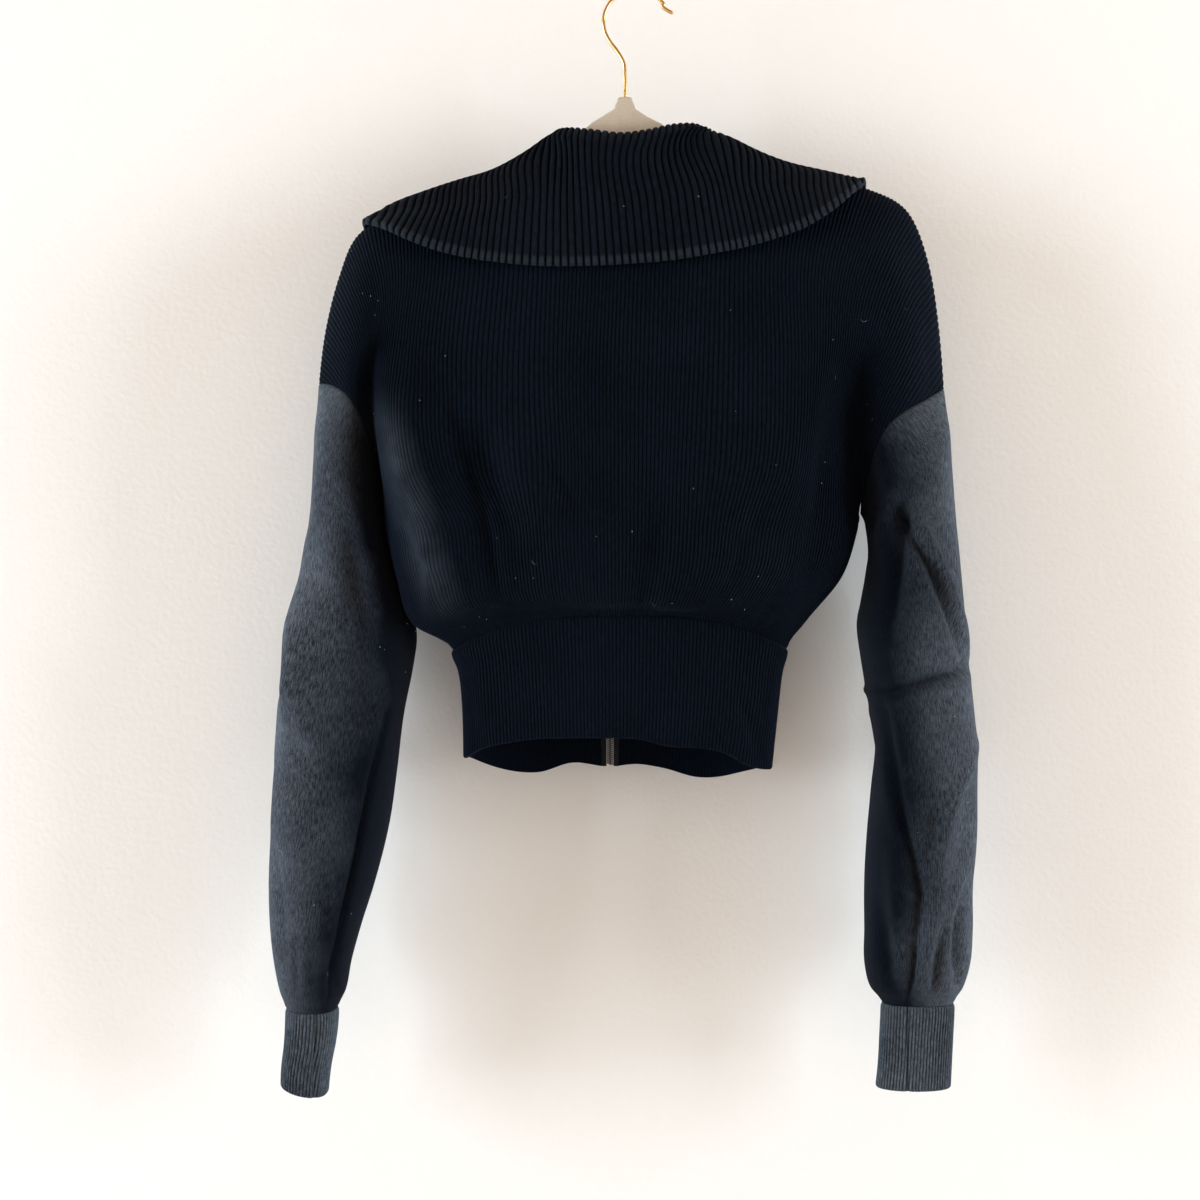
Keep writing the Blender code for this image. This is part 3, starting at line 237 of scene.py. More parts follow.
def make_fibres():
    """Loose fibres over any nap: fine flecks, soft clouds of wear, and a height of both."""
    tree, given, put = new_group(
        "loose_fibres",
        [("Coordinates", "NodeSocketVector", None)],
        [("Fleck", "NodeSocketFloat"), ("Cloud", "NodeSocketFloat"), ("Height", "NodeSocketFloat")],
    )
    place = given.outputs["Coordinates"]
    set_inputs(tree, put, {
        "Fleck": ramp_of(tree, noise_of(tree, place, 1100, 3, 0.7), 0.42, 0.72),
        "Cloud": ramp_of(tree, noise_of(tree, place, 16, 3), 0.32, 0.68),
        "Height": noise_of(tree, place, 1500, 3, 0.7),
    })
    return tree


FIBRES = make_fibres()


def add_group(tree, group, **inputs):
    return add_node(tree, "Group", inputs, node_tree=group).outputs


def flock_material():
    material, tree, shader, place = new_material("greige_flock")
    fibres = add_group(tree, FIBRES, Coordinates=place)
    tone = mix_of(tree, fibres["Cloud"], (0.44, 0.375, 0.30), (0.54, 0.47, 0.385))
    tone = mix_of(tree, math_of(tree, "MULTIPLY", fibres["Fleck"], 0.45), tone, (0.70, 0.63, 0.54))
    set_inputs(tree, shader, {"Base Color": tone, "Roughness": 0.95, "Sheen Weight": 0.2})
    bump_of(tree, shader, fibres["Height"], 0.0004, 0.6)
    return material


def metal_material(name, dark, light, scale, detail, swing, rough):
    """Worn metal: its tone and its roughness (rough, to rough + swing) follow one noise."""
    material, tree, shader, place = new_material(name)
    wear = noise_of(tree, place, scale, *detail)
    set_inputs(tree, shader, {
        "Base Color": mix_of(tree, wear, dark, light),
        "Metallic": 1.0,
        "Roughness": math_of(tree, "MULTIPLY_ADD", wear, swing, rough),
    })
    return material


def hanger_plate(material):
    """The hanger: at each place along it an upright section between its top and bottom edges,
    rounded by a half circle at both, and thinned to nothing at the two tips."""
    top, bottom = np.array(HANGER_TOP, float), np.array(HANGER_BOTTOM[::-1], float)
    x = np.union1d(np.linspace(top[0, 0], top[-1, 0], 420), top[:, 0])
    window = np.hanning(9) / np.hanning(9).sum()
    high = np.interp(x, top[:, 0], top[:, 1])
    high = np.convolve(np.pad(high, 4, mode="edge"), window, mode="valid")
    low = np.interp(x, bottom[:, 0], bottom[:, 1])
    tip = np.clip(np.minimum(x - x[0], x[-1] - x) / HANGER_HALF, 0, 1)
    thick = HANGER_HALF * np.sqrt(1 - (1 - tip) ** 2)
    reach = np.minimum(HANGER_HALF, (high - low) / 2)
    turn = np.radians(np.concatenate([np.linspace(0, 180, 13), np.linspace(180, 360, 13), [0]]))
    anchor = np.where(np.sin(turn) > 1e-6, (high - reach)[:, None], (low + reach)[:, None])
    anchor[:, (0, 12, 26)] = (high - reach)[:, None]
    rings = np.empty((len(x), len(turn), 3))
    rings[..., 0] = x[:, None]
    rings[..., 1] = thick[:, None] * np.cos(turn)
    rings[..., 2] = anchor + reach[:, None] * np.sin(turn)
    return grids_mesh("hanger", rings[None], material)


def hook_path():
    arch = np.radians(198 - 166 * np.arange(19) / 18)
    arch = np.stack([HOOK_RADIUS * np.cos(arch), HOOK_CENTRE_Z + HOOK_RADIUS * np.sin(arch)], 1)
    flat = np.concatenate([HOOK_STEM, arch, HOOK_TIP])
    knots = lengths_along(flat)
    flat = smooth(knots, flat, np.linspace(0, knots[-1], 160))
    return np.stack([flat[:, 0], np.zeros(len(flat)), flat[:, 1]], axis=1)


def add_piece(piece, slot, *nodes):
    """Makes a piece ride on the jacket in place of its solids; the slot it is given is not used."""
    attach(piece, BODY)
    if nodes:
        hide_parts(*nodes)


add_piece(hanger_plate(flock_material()), "hanger_flock", "hanger_body")
wire = hook_path()
radii = np.full(len(wire), HOOK_WIRE)
radii[-3:] = HOOK_WIRE * np.array(TIP_TAPER)
gold = metal_material("gold_wire", (0.72, 0.50, 0.24), (0.90, 0.68, 0.38), 260, (3,), 0.15, 0.12)
add_piece(tube("hook", wire, radii, 20, gold), "gold_wire", "hanger_hook")

# ---------------------------------------------------------------- back
# One piece of fine black rib, knitted to shape with a dropped shoulder. It runs up over the
# shoulder ridge, where the front is its other half, and hangs in soft folds to the waist.

BODY_WALL = 2.4
FRONT_CENTRE_X = -19.5
BACK_CENTRE_X = -14.0
FRONT_DEPTH = 0.85
SECTION_STEPS = 241
UPPER = np.array([
    # u,    ridge            roll              cap               groove            armpit
    (0.000, -241, 0, -298, -230, 17, -301, -216, 32, -310, -201, 28, -334, -189, 0, -379),
    (0.050, -236, 0, -258, -225, 22, -265, -210, 38, -279, -200, 24, -313, -190, 22, -374),
    (0.100, -226, 0, -218, -215, 24, -230, -200, 40, -253, -196, 26, -302, -185, 42, -371),
    (0.150, -212, 0, -186, -202, 24, -203, -189, 40, -234, -187, 37, -296, -176, 54, -369),
    (0.200, -183, 0, -167, -177, 23, -191, -171, 38, -223, -172, 48, -296, -158, 62, -368),
    (0.270, -141, 0, -152, -138, 22, -179, -137, 36, -215, -138, 52, -295, -127, 65, -369),
    (0.330, -100, 0, -139, -97, 22, -167, -98, 36, -213, -100, 53, -295, -94, 66, -369),
    (0.385, -61, 2, -125, -61, 22, -158, -63, 37, -211, -65, 54, -296, -62, 67, -369),
    (0.440, -39, 14, -143, -36, 25, -168, -37, 38, -214, -40, 55, -298, -39, 68, -371),
    (0.500, -9, 19, -150, -9, 26, -172, -11, 38, -215, -14, 55, -299, -14, 68, -372),
    (0.560, 22, 14, -143, 20, 25, -168, 18, 38, -213, 15, 55, -298, 13, 68, -371),
    (0.620, 53, 2, -120, 50, 22, -153, 48, 37, -210, 44, 54, -296, 40, 67, -370),
    (0.680, 94, 0, -132, 90, 22, -161, 85, 37, -208, 81, 53, -295, 74, 66, -369),
    (0.740, 136, 0, -142, 128, 23, -170, 118, 38, -210, 113, 52, -293, 103, 64, -369),
    (0.800, 176, 0, -150, 162, 24, -178, 146, 40, -218, 136, 50, -294, 127, 58, -370),
    (0.860, 208, 0, -169.5, 190, 26, -193, 168, 42, -233, 154, 39, -300, 146, 46, -373),
    (0.910, 223, 0, -209, 204, 26, -226, 184, 42, -255, 164, 31, -308, 158, 32, -379),
    (0.955, 230, 0, -253, 213, 24, -263, 194, 40, -284, 170, 31, -322, 166, 16, -387),
    (1.000, 234, 0, -302, 219, 20, -311, 198, 38, -323, 177, 34, -348, 170, 0, -396),
])
TORSO = [
    # left x, z, right x, z, back depth, back z, front depth, front z, squareness
    (-189, -411, 167, -413, 73, -408, 62, -416, 2.6),
    (-181, -447, 155, -447, 72, -440, 67, -454, 2.6),
    (-169, -481, 129, -479, 62, -465, 61, -487, 2.7),
    (-140, -500, 115, -499, 48, -474, 46, -497, 2.8),
]
NECK = np.array([
    # rib, column, seam x, y, z, fold x, y, z
    (-62, 0.478, -29, 43, -267, -30, 53, -257),
    (-54, 0.460, -37, 41, -248, -41, 50, -238),
    (-46, 0.440, -46, 36, -222, -51, 46, -211),
    (-38, 0.420, -54, 29, -192, -59, 38, -181),
    (-30, 0.405, -59, 20, -166, -64, 27, -153),
    (-22, 0.393, -61, 10, -143, -65, 15, -129),
    (-16, 0.387, -61, 2, -129, -64, 6, -114),
    (-12, 0.385, -61, -2, -125, -61, -2, -107.5),
    (-8, 0.412, -51, -12, -137, -52, -13, -107.5),
    (-4, 0.455, -33, -16, -146, -34, -18, -110),
    (0, 0.500, -9, -19, -150, -12, -20, -113),
    (4, 0.545, 15, -16, -146, 9, -18, -110),
    (8, 0.588, 36, -13, -134, 28, -14, -105),
    (12, 0.620, 53, -2, -120, 46, -4, -102.5),
    (16, 0.618, 54, 2, -124, 54, 6, -108),
    (22, 0.612, 54, 10, -138, 57, 15, -122),
    (30, 0.600, 51, 20, -160, 55, 27, -146),
    (38, 0.584, 44, 29, -188, 49, 38, -175),
    (46, 0.564, 33, 36, -219, 38, 46, -207),
    (54, 0.544, 13, 41, -246, 16, 50, -236),
    (62, 0.522, -10, 43, -267, -9, 53, -257),
])
NECK_SIDES = (0.385, 0.62)
NECK_ROWS = (0.0, 0.15, 0.36, 0.70)
NECK_DEPTHS = (0.0, 0.35, 0.56, 0.82)
# A fold is its depth, its half width, and the x and z of each place on its route.
BACK_FOLDS = [
    (-9, 22, -163, -277, -141, -316, -117, -362, -98, -406, -88, -459),
    (6, 16, -189, -270, -181, -303, -168, -352, -160, -399, -154, -447, -145, -476),
    (6, 15, -91, -333, -83, -369, -54, -416),
    (-8, 17, 18, -369, 11, -427, 4, -459),
    (7, 17, 72, -369, 39, -441, 22, -470),
    (-5, 14, -54, -366, -22, -388, -2, -402),
    (-10, 20, 163, -300, 150, -352, 142, -405, 128, -470),
    (3.5, 12, -22, -291, -2, -268),
]
FRONT_FOLDS = [
    (-9, 22, -150, -300, -120, -360, -98, -420, -84, -470),
    (6, 17, -96, -330, -72, -385, -52, -440),
    (-9, 21, 118, -300, 92, -360, 72, -420, 62, -470),
    (6, 16, 62, -330, 44, -390, 30, -440),
]
BACK_CREASES = [
    (4.0, 9, -170, -308, -158, -365, -148, -418, -139, -465),
    (-6.5, 17, -122, -316, -113, -372, -105, -430, -98, -470),
    (-3.5, 13, 150, -286, 140, -330, 136, -380, 124, -440),
    (-3.2, 6, -147, -300, -130, -345, -118, -388, -106, -440, -98, -478),
    (2.6, 7, -128, -330, -112, -378, -100, -428, -92, -470),
    (-2.6, 5, -76, -352, -50, -392, -30, -412),
    (-2.2, 5, -52, -352, -38, -362, -30, -376, -24, -366),
    (-2.4, 6, -168, -412, -158, -438, -160, -466),
    (2.0, 5, -160, -414, -148, -440, -150, -470),
    (-2.4, 5, -150, -436, -139, -456, -137, -484),
    (-2.2, 7, 62, -372, 46, -404, 30, -440),
    (-1.8, 6, 96, -380, 74, -430, 58, -476),
    (-1.6, 9, 14, -262, 30, -250, 52, -246),
    (1.4, 9, -60, -262, -20, -276, 22, -272, 60, -258),
    (-2.0, 7, 128, -330, 122, -380, 108, -440),
    (-1.6, 5, 6, -452, 2, -484),
    (1.6, 5, 20, -446, 17, -484),
    (-1.4, 5, -62, -452, -60, -480),
]
FRONT_CREASES = [
    (-2.2, 7, -132, -330, -110, -384, -94, -440),
    (-2.0, 6, -70, -380, -56, -420, -50, -470),
    (2.0, 6, -58, -372, -44, -424, -40, -468),
    (-2.2, 7, 100, -330, 80, -390, 62, -446),
    (-2.0, 6, 40, -380, 26, -424, 20, -470),
    (1.8, 6, 52, -384, 36, -430, 30, -474),
    (-1.8, 6, 138, -400, 120, -440, 104, -480),
    (-1.8, 6, -164, -410, -150, -446, -138, -482),
]


def squared(angle, square):
    """The cosine and sine of a circle that is drawn out towards a square: their sizes to the
    power 2 / square, with their signs."""
    return [np.sign(v) * np.abs(v) ** (2 / square) for v in (np.cos(angle), np.sin(angle))]


def torso_row(section, u, side):
    """Half of a level section from its left end (u = 0) to its right, evenly spaced on each
    side of the panel's middle (u = 0.5)."""
    left_x, left_z, right_x, right_z, back, back_z, front, front_z, square = section
    depth, mid_z, centre_x = back, back_z, BACK_CENTRE_X
    if side > 0:
        depth, mid_z, centre_x = front, front_z, FRONT_CENTRE_X
    angle = np.linspace(0, math.pi, SECTION_STEPS)
    x, y = squared(angle, square)
    x = (left_x + right_x) / 2 - x * (right_x - left_x) / 2
    y = side * depth * y
    length = np.concatenate([[0], np.cumsum(np.hypot(np.diff(x), np.diff(y)))])
    centre = np.interp(centre_x, x, length)
    turn = np.interp(np.interp(u, (0, 0.5, 1), (0, centre, length[-1])), length, angle)
    x = np.interp(turn, angle, x)
    y = np.interp(turn, angle, y)
    line = left_z + (right_z - left_z) * (x - left_x) / (right_x - left_x)
    middle = (left_z + right_z) / 2
    z = line + (mid_z - middle) * np.sin(turn) ** 2
    return np.stack([x, y, z], axis=-1)


def upper_rows(u):
    """The five upper rows at the columns u, as (row, column, xyz) with y taken as a depth."""
    return smooth(UPPER[:, 0], UPPER[:, 1:], u).reshape(len(u), 5, 3).transpose(1, 0, 2)


def front_neck(u):
    """The front neckline at columns between the two sides of the neck."""
    left = NECK[NECK[:, 0] <= -12][::-1]
    right = NECK[NECK[:, 0] >= 12][::-1]
    table = np.concatenate([left, right])
    return smooth(table[:, 1], table[:, 2:5], u)


def body_rows(u, side):
    """Control rows of the back (side -1) or the front (+1), from the ridge to the waist."""
    u = np.asarray(u, float)
    rows = upper_rows(u)
    if side < 0:
        rows[..., 1] *= -1
    else:
        rows[..., 1] *= FRONT_DEPTH
        nearness = np.clip(1 - np.abs(u - 0.5) / 0.2, 0, 1)
        rows[4, :, 0] += (FRONT_CENTRE_X - BACK_CENTRE_X) * nearness
        neck = (u > NECK_SIDES[0]) & (u < NECK_SIDES[1])
        if neck.any():
            top = front_neck(u[neck])
            below = rows[4, neck] + (0, 0, -4)
            beside = np.minimum(u[neck] - NECK_SIDES[0], NECK_SIDES[1] - u[neck])
            beside = np.clip(beside / 0.06, 0, 1)
            for row, (along, deep) in enumerate(zip(NECK_ROWS, NECK_DEPTHS)):
                share = np.full((neck.sum(), 3), along)
                share[:, 1] = deep + (along - deep) * beside
                rows[row, neck] = top + (below - top) * share
            rows[4, neck] = below
    lower = np.stack([torso_row(section, u, side) for section in TORSO])
    return np.concatenate([rows, lower])


KNOTS = lengths_along(body_rows(np.linspace(0.02, 0.98, 49), -1))
ARMPIT = KNOTS[4]
WAIST = KNOTS[-1]
DOWN = np.array((0.0, 0.0, -1.0))


def body_points(u, t, side):
    """The outer face of the body without its folds, as (t, u, xyz)."""
    u = np.asarray(u, float)
    rows = body_rows(u, side)
    other = body_rows(u, -side)
    over = np.maximum(NECK_SIDES[0] - u, u - NECK_SIDES[1])
    over = np.clip(over / 0.02, 0, 1)[:, None]
    across = (rows[1] - other[1]) / (2 * KNOTS[1])
    down = (rows[1] - rows[0]) / KNOTS[1]
    first = over * across + (1 - over) * down
    points = smooth(KNOTS, rows, t, first, DOWN)
    points[..., 1] = side * np.maximum(side * points[..., 1], 0)
    return points


def fold_rise(points, table):
    """How far each place rises: a bell curve of its distance in x and z to each fold's route,
    which dies away along it towards both ends."""
    rise = np.zeros(points.shape[:-1])
    flat = points[..., (0, 2)]
    for depth, width, *route in table:
        route = np.reshape(route, (-1, 2)).astype(float)
        nearest = np.full(rise.shape, 1e9)
        along = np.zeros(rise.shape)
        for i in range(len(route) - 1):
            start, end = route[i], route[i + 1]
            step = end - start
            share = np.clip(((flat - start) @ step) / (step @ step), 0, 1)
            distance = np.linalg.norm(flat - start - share[..., None] * step, axis=-1)
            closer = distance < nearest
            nearest = np.where(closer, distance, nearest)
            along = np.where(closer, (i + share) / (len(route) - 1), along)
        taper = np.clip(np.sin(math.pi * (0.12 + 0.76 * along)), 0, 1)
        rise += depth * taper * np.exp(-((nearest / width) ** 2))
    return rise


def grid_normals(points, sign, wrap=False):
    """Unit normals of a (row, column) grid, times a sign that turns them outwards."""
    if wrap:
        across = np.roll(points, -1, axis=1) - np.roll(points, 1, axis=1)
    else:
        across = np.gradient(points, axis=1)
    down = np.gradient(points, axis=0)
    return sign * unit(np.cross(down, across))


EDGE_FADE = 0.08
ZIP_FADE = 0.07
WAIST_FADE = 22


def body_face(u, t, side, small=True):
    """The body's outer face: its control rows joined smoothly, then raised or sunk along each
    fold's route by a bell curve of the distance to it, dying away at every seam."""
    points = body_points(u, t, side)
    normals = grid_normals(points, -side)
    rise = fold_rise(points, BACK_FOLDS if side < 0 else FRONT_FOLDS)
    if small:
        rise = rise + fold_rise(points, BACK_CREASES if side < 0 else FRONT_CREASES)
    edge = np.clip(np.minimum(u, 1 - u) / EDGE_FADE, 0, 1)
    if side > 0:
        edge = edge * np.clip(np.abs(u - 0.5) / ZIP_FADE, 0, 1) ** 2
    low = np.clip((WAIST - t) / WAIST_FADE, 0, 1)
    points = points + normals * (rise * edge * low[:, None])[..., None]
    return points, grid_normals(points, -side)


RIBS_ACROSS = 157
EDGE_RIBS = 15
PER_RIB = 4
RIB_DEPTH = 0.85
FINE_COLUMNS = np.linspace(0, 1, 601)
ROLL = 1.3
ARMHOLE_DIP = 1.1
SIDE_DIP = 0.7
BODY_ROWS = np.concatenate([
    np.linspace(0, 10, 6), np.linspace(10, WAIST - 6, 84)[1:], np.linspace(WAIST - 6, WAIST, 7)[1:]
])


def rib_columns(ribs, t):
    """Body columns of the ribs at each row. Ribs are even, and fifteen more at each side start
    on the shoulder and run out one by one into the armhole's seam."""
    more = EDGE_RIBS * np.clip(1 - t / ARMPIT, 0, 1)[:, None]
    left = (ribs + more) / (RIBS_ACROSS + more / NECK_SIDES[0])
    right = 1 - (RIBS_ACROSS - ribs + more) / (RIBS_ACROSS + more / (1 - NECK_SIDES[1]))
    middle = np.broadcast_to(ribs / RIBS_ACROSS, left.shape)
    u = np.where(ribs < RIBS_ACROSS * NECK_SIDES[0], left, middle)
    u = np.where(ribs > RIBS_ACROSS * NECK_SIDES[1], right, u)
    return np.clip(u, 0, 1)


def read_rows(grid, known, wanted):
    """Each row of a grid read at its own columns, by straight steps between the known ones."""
    return np.stack([
        np.stack([np.interp(at, known, row[:, k]) for k in range(3)], axis=1)
        for row, at in zip(grid, wanted)
    ])


def rib_profile(phase, power=2):
    """A rib across, 1 at its middle (whole numbers) and 0 in the groove. A higher power makes a
    broader top and a narrower groove."""
    off = np.abs((phase + 0.5) % 1 - 0.5) * 2
    return 1 - off**power


def edge_lengths(points):
    """How far each place of a grid is from the first and the last column, along its row."""
    steps = np.linalg.norm(np.diff(points, axis=1), axis=2)
    length = np.concatenate([np.zeros((len(points), 1)), np.cumsum(steps, axis=1)], axis=1)
    return length, length[:, -1:] - length


def seam_dip(distance, deep=1.0, width=ROLL):
    """The valley beside a seam, where the cloth rolls down into it."""
    return -deep * np.exp(-((distance / width) ** 2))


def closed_cloth(name, points, normals, rise, wall, ratio, across, along, material, wrap=False):
    """A wall of cloth, as its piece and its outer grid: a fine outer grid raised by its ribs, an
    inner one of every ratio-th column, and rims that join each coarse step to its run of fine
    ones. The map counts across the cloth and along it."""
    outer = points + normals * np.asarray(rise)[..., None]
    inner = (points - normals * wall)[:, ::ratio]
    uv = np.stack(np.broadcast_arrays(across, along), axis=-1)
    rows, fine = outer.shape[:2]
    coarse = inner.shape[1]
    start = rows * fine
    points = np.concatenate([outer.reshape(-1, 3), inner.reshape(-1, 3)])
    uvs = np.concatenate([uv.reshape(-1, 2), uv[:, ::ratio].reshape(-1, 2)])
    parts = [grid_triangles(rows, fine), grid_triangles(rows, coarse, start)[:, ::-1]]
    k = np.arange(fine - 1)
    j = k // ratio
    near = j + (k % ratio >= ratio / 2)
    turn = np.arange(coarse - 1)
    for row in (0, rows - 1):
        o, i = row * fine, start + row * coarse
        rim = np.stack([o + k, o + k + 1, i + near], axis=1)
        gap = np.stack([o + turn * ratio + math.ceil(ratio / 2), i + turn + 1, i + turn], axis=1)
        parts += [rim, gap] if row else [rim[:, ::-1], gap[:, ::-1]]
    if not wrap:
        r = np.arange(rows - 1)
        for column, other in ((0, 0), (fine - 1, coarse - 1)):
            a, b = r * fine + column, (r + 1) * fine + column
            c, d = start + (r + 1) * coarse + other, start + r * coarse + other
            parts += [np.stack([a, b, c], axis=1), np.stack([a, c, d], axis=1)]
    return raw_mesh(name, points, np.concatenate(parts), material, uvs), outer


def add_cloth(piece, slot, node):
    add_piece(piece, slot, node)


def axes_of(tree, vector):
    return add_node(tree, "SeparateXYZ", {0: vector}).outputs


def cloth_map(tree):
    return add_node(tree, "UVMap", uv_map="cloth").outputs["UV"]


def off_rib(tree, x):
    """How far a place is from the middle of its rib, from 0 to 0.5 ribs."""
    across = math_of(tree, "FRACT", math_of(tree, "ADD", x, 0.5))
    return math_of(tree, "ABSOLUTE", math_of(tree, "SUBTRACT", across, 0.5))


def make_stitches():
    """Knit loops from the cloth's map, whose x counts ribs and y runs along them in mm: a row
    of slanted loops climbs each side of a rib, and the groove between ribs lies in shade."""
    tree, given, put = new_group(
        "knit_loops",
        [("Map", "NodeSocketVector", None), ("Loops", "NodeSocketFloat", 0.6)],
        [(label, "NodeSocketFloat") for label in ("Height", "Groove", "Streak")],
    )
    parts = axes_of(tree, given.outputs["Map"])
    across = math_of(tree, "MULTIPLY", off_rib(tree, parts["X"]), 2.0)
    row = math_of(tree, "MULTIPLY", parts["Y"], given.outputs["Loops"])
    turn = math_of(tree, "MULTIPLY", math_of(tree, "ADD", row, across), 2 * math.pi)
    yarn = add_node(tree, "CombineXYZ", {
        "X": math_of(tree, "MULTIPLY", parts["X"], 1.5),
        "Y": math_of(tree, "MULTIPLY", parts["Y"], 0.16),
    })
    set_inputs(tree, put, {
        "Height": math_of(tree, "MULTIPLY_ADD", math_of(tree, "SINE", turn), 0.5, 0.5),
        "Groove": math_of(tree, "POWER", across, 2.5),
        "Streak": ramp_of(tree, noise_of(tree, yarn.outputs[0], 1.0, 3, 0.65), 0.36, 0.70),
    })
    return tree


STITCHES = make_stitches()


def knit_material(name, dark, light, loops, groove_shade=0.7, relief=0.0003, marl=0.4):
    """Black knit: loops, streaks of yarn and painted shade in the grooves from its map, with loose
    fibre on top.
    """
    material, tree, shader, place = new_material(name)
    knit = add_group(tree, STITCHES, Map=cloth_map(tree), Loops=loops)
    fibres = add_group(tree, FIBRES, Coordinates=place)
    share = math_of(tree, "MULTIPLY", fibres["Cloud"], 0.25)
    share = math_of(tree, "MULTIPLY_ADD", knit["Streak"], marl, share)
    share = math_of(tree, "MULTIPLY_ADD", fibres["Fleck"], 0.4, share)
    share = math_of(tree, "MULTIPLY_ADD", knit["Height"], 0.12, share)
    # Painted shade in the grooves between ribs: the tone is mixed down towards a quarter of the
    # dark colour.
    shade = math_of(tree, "MULTIPLY", knit["Groove"], groove_shade)
    tone = mix_of(tree, share, dark, light)
    set_inputs(tree, shader, {
        "Base Color": mix_of(tree, shade, tone, tuple(0.25 * c for c in dark)),
        "Roughness": 0.92,
        "Specular IOR Level": 0.06,
        "Sheen Weight": 0.05,
        "Sheen Roughness": 0.45,
        "Sheen Tint": (0.72, 0.80, 0.95, 1),
    })
    height = math_of(tree, "MULTIPLY_ADD", knit["Height"], 0.5, fibres["Height"])
    height = math_of(tree, "MULTIPLY_ADD", knit["Streak"], 0.6, height)
    bump_of(tree, shader, height, relief, 0.8)
    return material


def retone(material, share, low=None, high=None):
    """Mixes a material's present tone, by a share, with a colour under it or over it."""
    tree = material.node_tree
    base = tree.nodes["Principled BSDF"].inputs["Base Color"]
    tone = base.links[0].from_socket
    tree.links.new(mix_of(tree, share, low or tone, high or tone), base)


# The left flank's painted highlight along a fold, in metres: its x at a height, its slant and its
# half width.
LIT_FLANK = (-0.166, -0.392, 0.30, 0.022)
LIT_FLANK_TOP = (-0.305, -0.345)
LIT_FLANK_FOOT = (-0.480, -0.450)
FLANK_HIGHLIGHT = (0.085, 0.108, 0.135)


def paint_flank_highlight(material):
    """A painted highlight on a fold low on the left flank, where it faces the light: a bell across
    the slanted line given above, held between the armhole and the waist, and broken up by soft
    clouds."""
    tree = material.node_tree
    place = add_node(tree, "TexCoord").outputs["Object"]
    parts = axes_of(tree, place)
    across, height, slant, reach = LIT_FLANK
    rise = math_of(tree, "SUBTRACT", parts["Z"], height)
    line = math_of(tree, "MULTIPLY_ADD", rise, slant, parts["X"])
    line = math_of(tree, "ABSOLUTE", math_of(tree, "SUBTRACT", line, across))
    bell = ramp_of(tree, line, reach, 0.0)
    high = ramp_of(tree, parts["Z"], *LIT_FLANK_TOP)
    low = ramp_of(tree, parts["Z"], *LIT_FLANK_FOOT)
    patchy = ramp_of(tree, noise_of(tree, place, 45, 3), 0.0, 0.75)
    share = math_of(tree, "MULTIPLY", math_of(tree, "MULTIPLY", bell, high), low)
    share = math_of(tree, "MULTIPLY", math_of(tree, "MULTIPLY", share, patchy), 0.55)
    # Painted highlight: the flank's rib is mixed towards a paler tone where the light falls.
    retone(material, share, high=FLANK_HIGHLIGHT)


fine_rib = knit_material(
    "black_fine_rib", (0.0022, 0.0040, 0.0085), (0.0095, 0.0165, 0.0315), 0.62
)
paint_flank_highlight(fine_rib)


def body_panel(name, side, ribs, t, last_u=None):
    """A panel's ribbed wall with the seams' valleys, as its piece, outer grid and normals."""
    face, normals = body_face(FINE_COLUMNS, t, side)
    u = rib_columns(ribs, t)
    if last_u is not None:
        u = np.minimum(u, last_u[:, None]) if ribs[0] < 0 else np.maximum(u, last_u[:, None])
    points = read_rows(face, FINE_COLUMNS, u)
    normals = unit(read_rows(normals, FINE_COLUMNS, u))
    to_left, to_right = edge_lengths(points)
    top = np.clip(t / ARMPIT, 0, 1)[:, None]
    edge_depth = np.where(t < ARMPIT, ARMHOLE_DIP, SIDE_DIP)[:, None]
    dip = seam_dip((WAIST - t)[:, None] * np.ones_like(u))
    if last_u is None or ribs[0] < 0:
        dip += seam_dip(to_left) * edge_depth * np.minimum(1, 6 * top)
    if last_u is None or ribs[0] > 0:
        dip += seam_dip(to_right) * edge_depth * np.minimum(1, 6 * top)
    rise = RIB_DEPTH * (rib_profile(ribs)[None] - 1) + dip
    piece, outer = closed_cloth(
        name, points, normals, rise, BODY_WALL, PER_RIB, ribs, t[:, None], fine_rib
    )
    return piece, outer, normals


ribs = np.linspace(-EDGE_RIBS, RIBS_ACROSS + EDGE_RIBS, (RIBS_ACROSS + 2 * EDGE_RIBS) * PER_RIB + 1)
back, back_points, back_normals = body_panel("back_panel", -1, ribs, BODY_ROWS)
add_cloth(back, "fine_rib_knit", "back")

# ---------------------------------------------------------------- fronts
# Two halves of the same rib, cut away to a V under the collar and sewn to the zip. They share
# the back's columns, and each stops at the tape beside it.

PANEL_EDGE = 7.4


def zip_columns(t):
    """The body column of each row that lies beside the zip's tape, by its distance in x."""
    face, _ = body_face(FINE_COLUMNS, t, 1)
    x = face[:, :, 0] - read_rows(face, FINE_COLUMNS, np.full((len(t), 1), 0.5))[:, :, 0]
    edges = (-PANEL_EDGE, PANEL_EDGE)
    return [np.array([np.interp(edge, row, FINE_COLUMNS) for row in x]) for edge in edges]


left_edge, right_edge = zip_columns(BODY_ROWS)
half = (RIBS_ACROSS + 1) // 2
left_ribs = np.linspace(-EDGE_RIBS, half, (half + EDGE_RIBS) * PER_RIB + 1)
right_ribs = np.linspace(half - 1, RIBS_ACROSS + EDGE_RIBS, (half + EDGE_RIBS) * PER_RIB + 1)
for hand, panel_ribs, last in (("left", left_ribs, left_edge), ("right", right_ribs, right_edge)):
    front, _, _ = body_panel("front_panel_" + hand, 1, panel_ribs, BODY_ROWS, last)
    add_cloth(front, "fine_rib_knit", "front_" + hand)
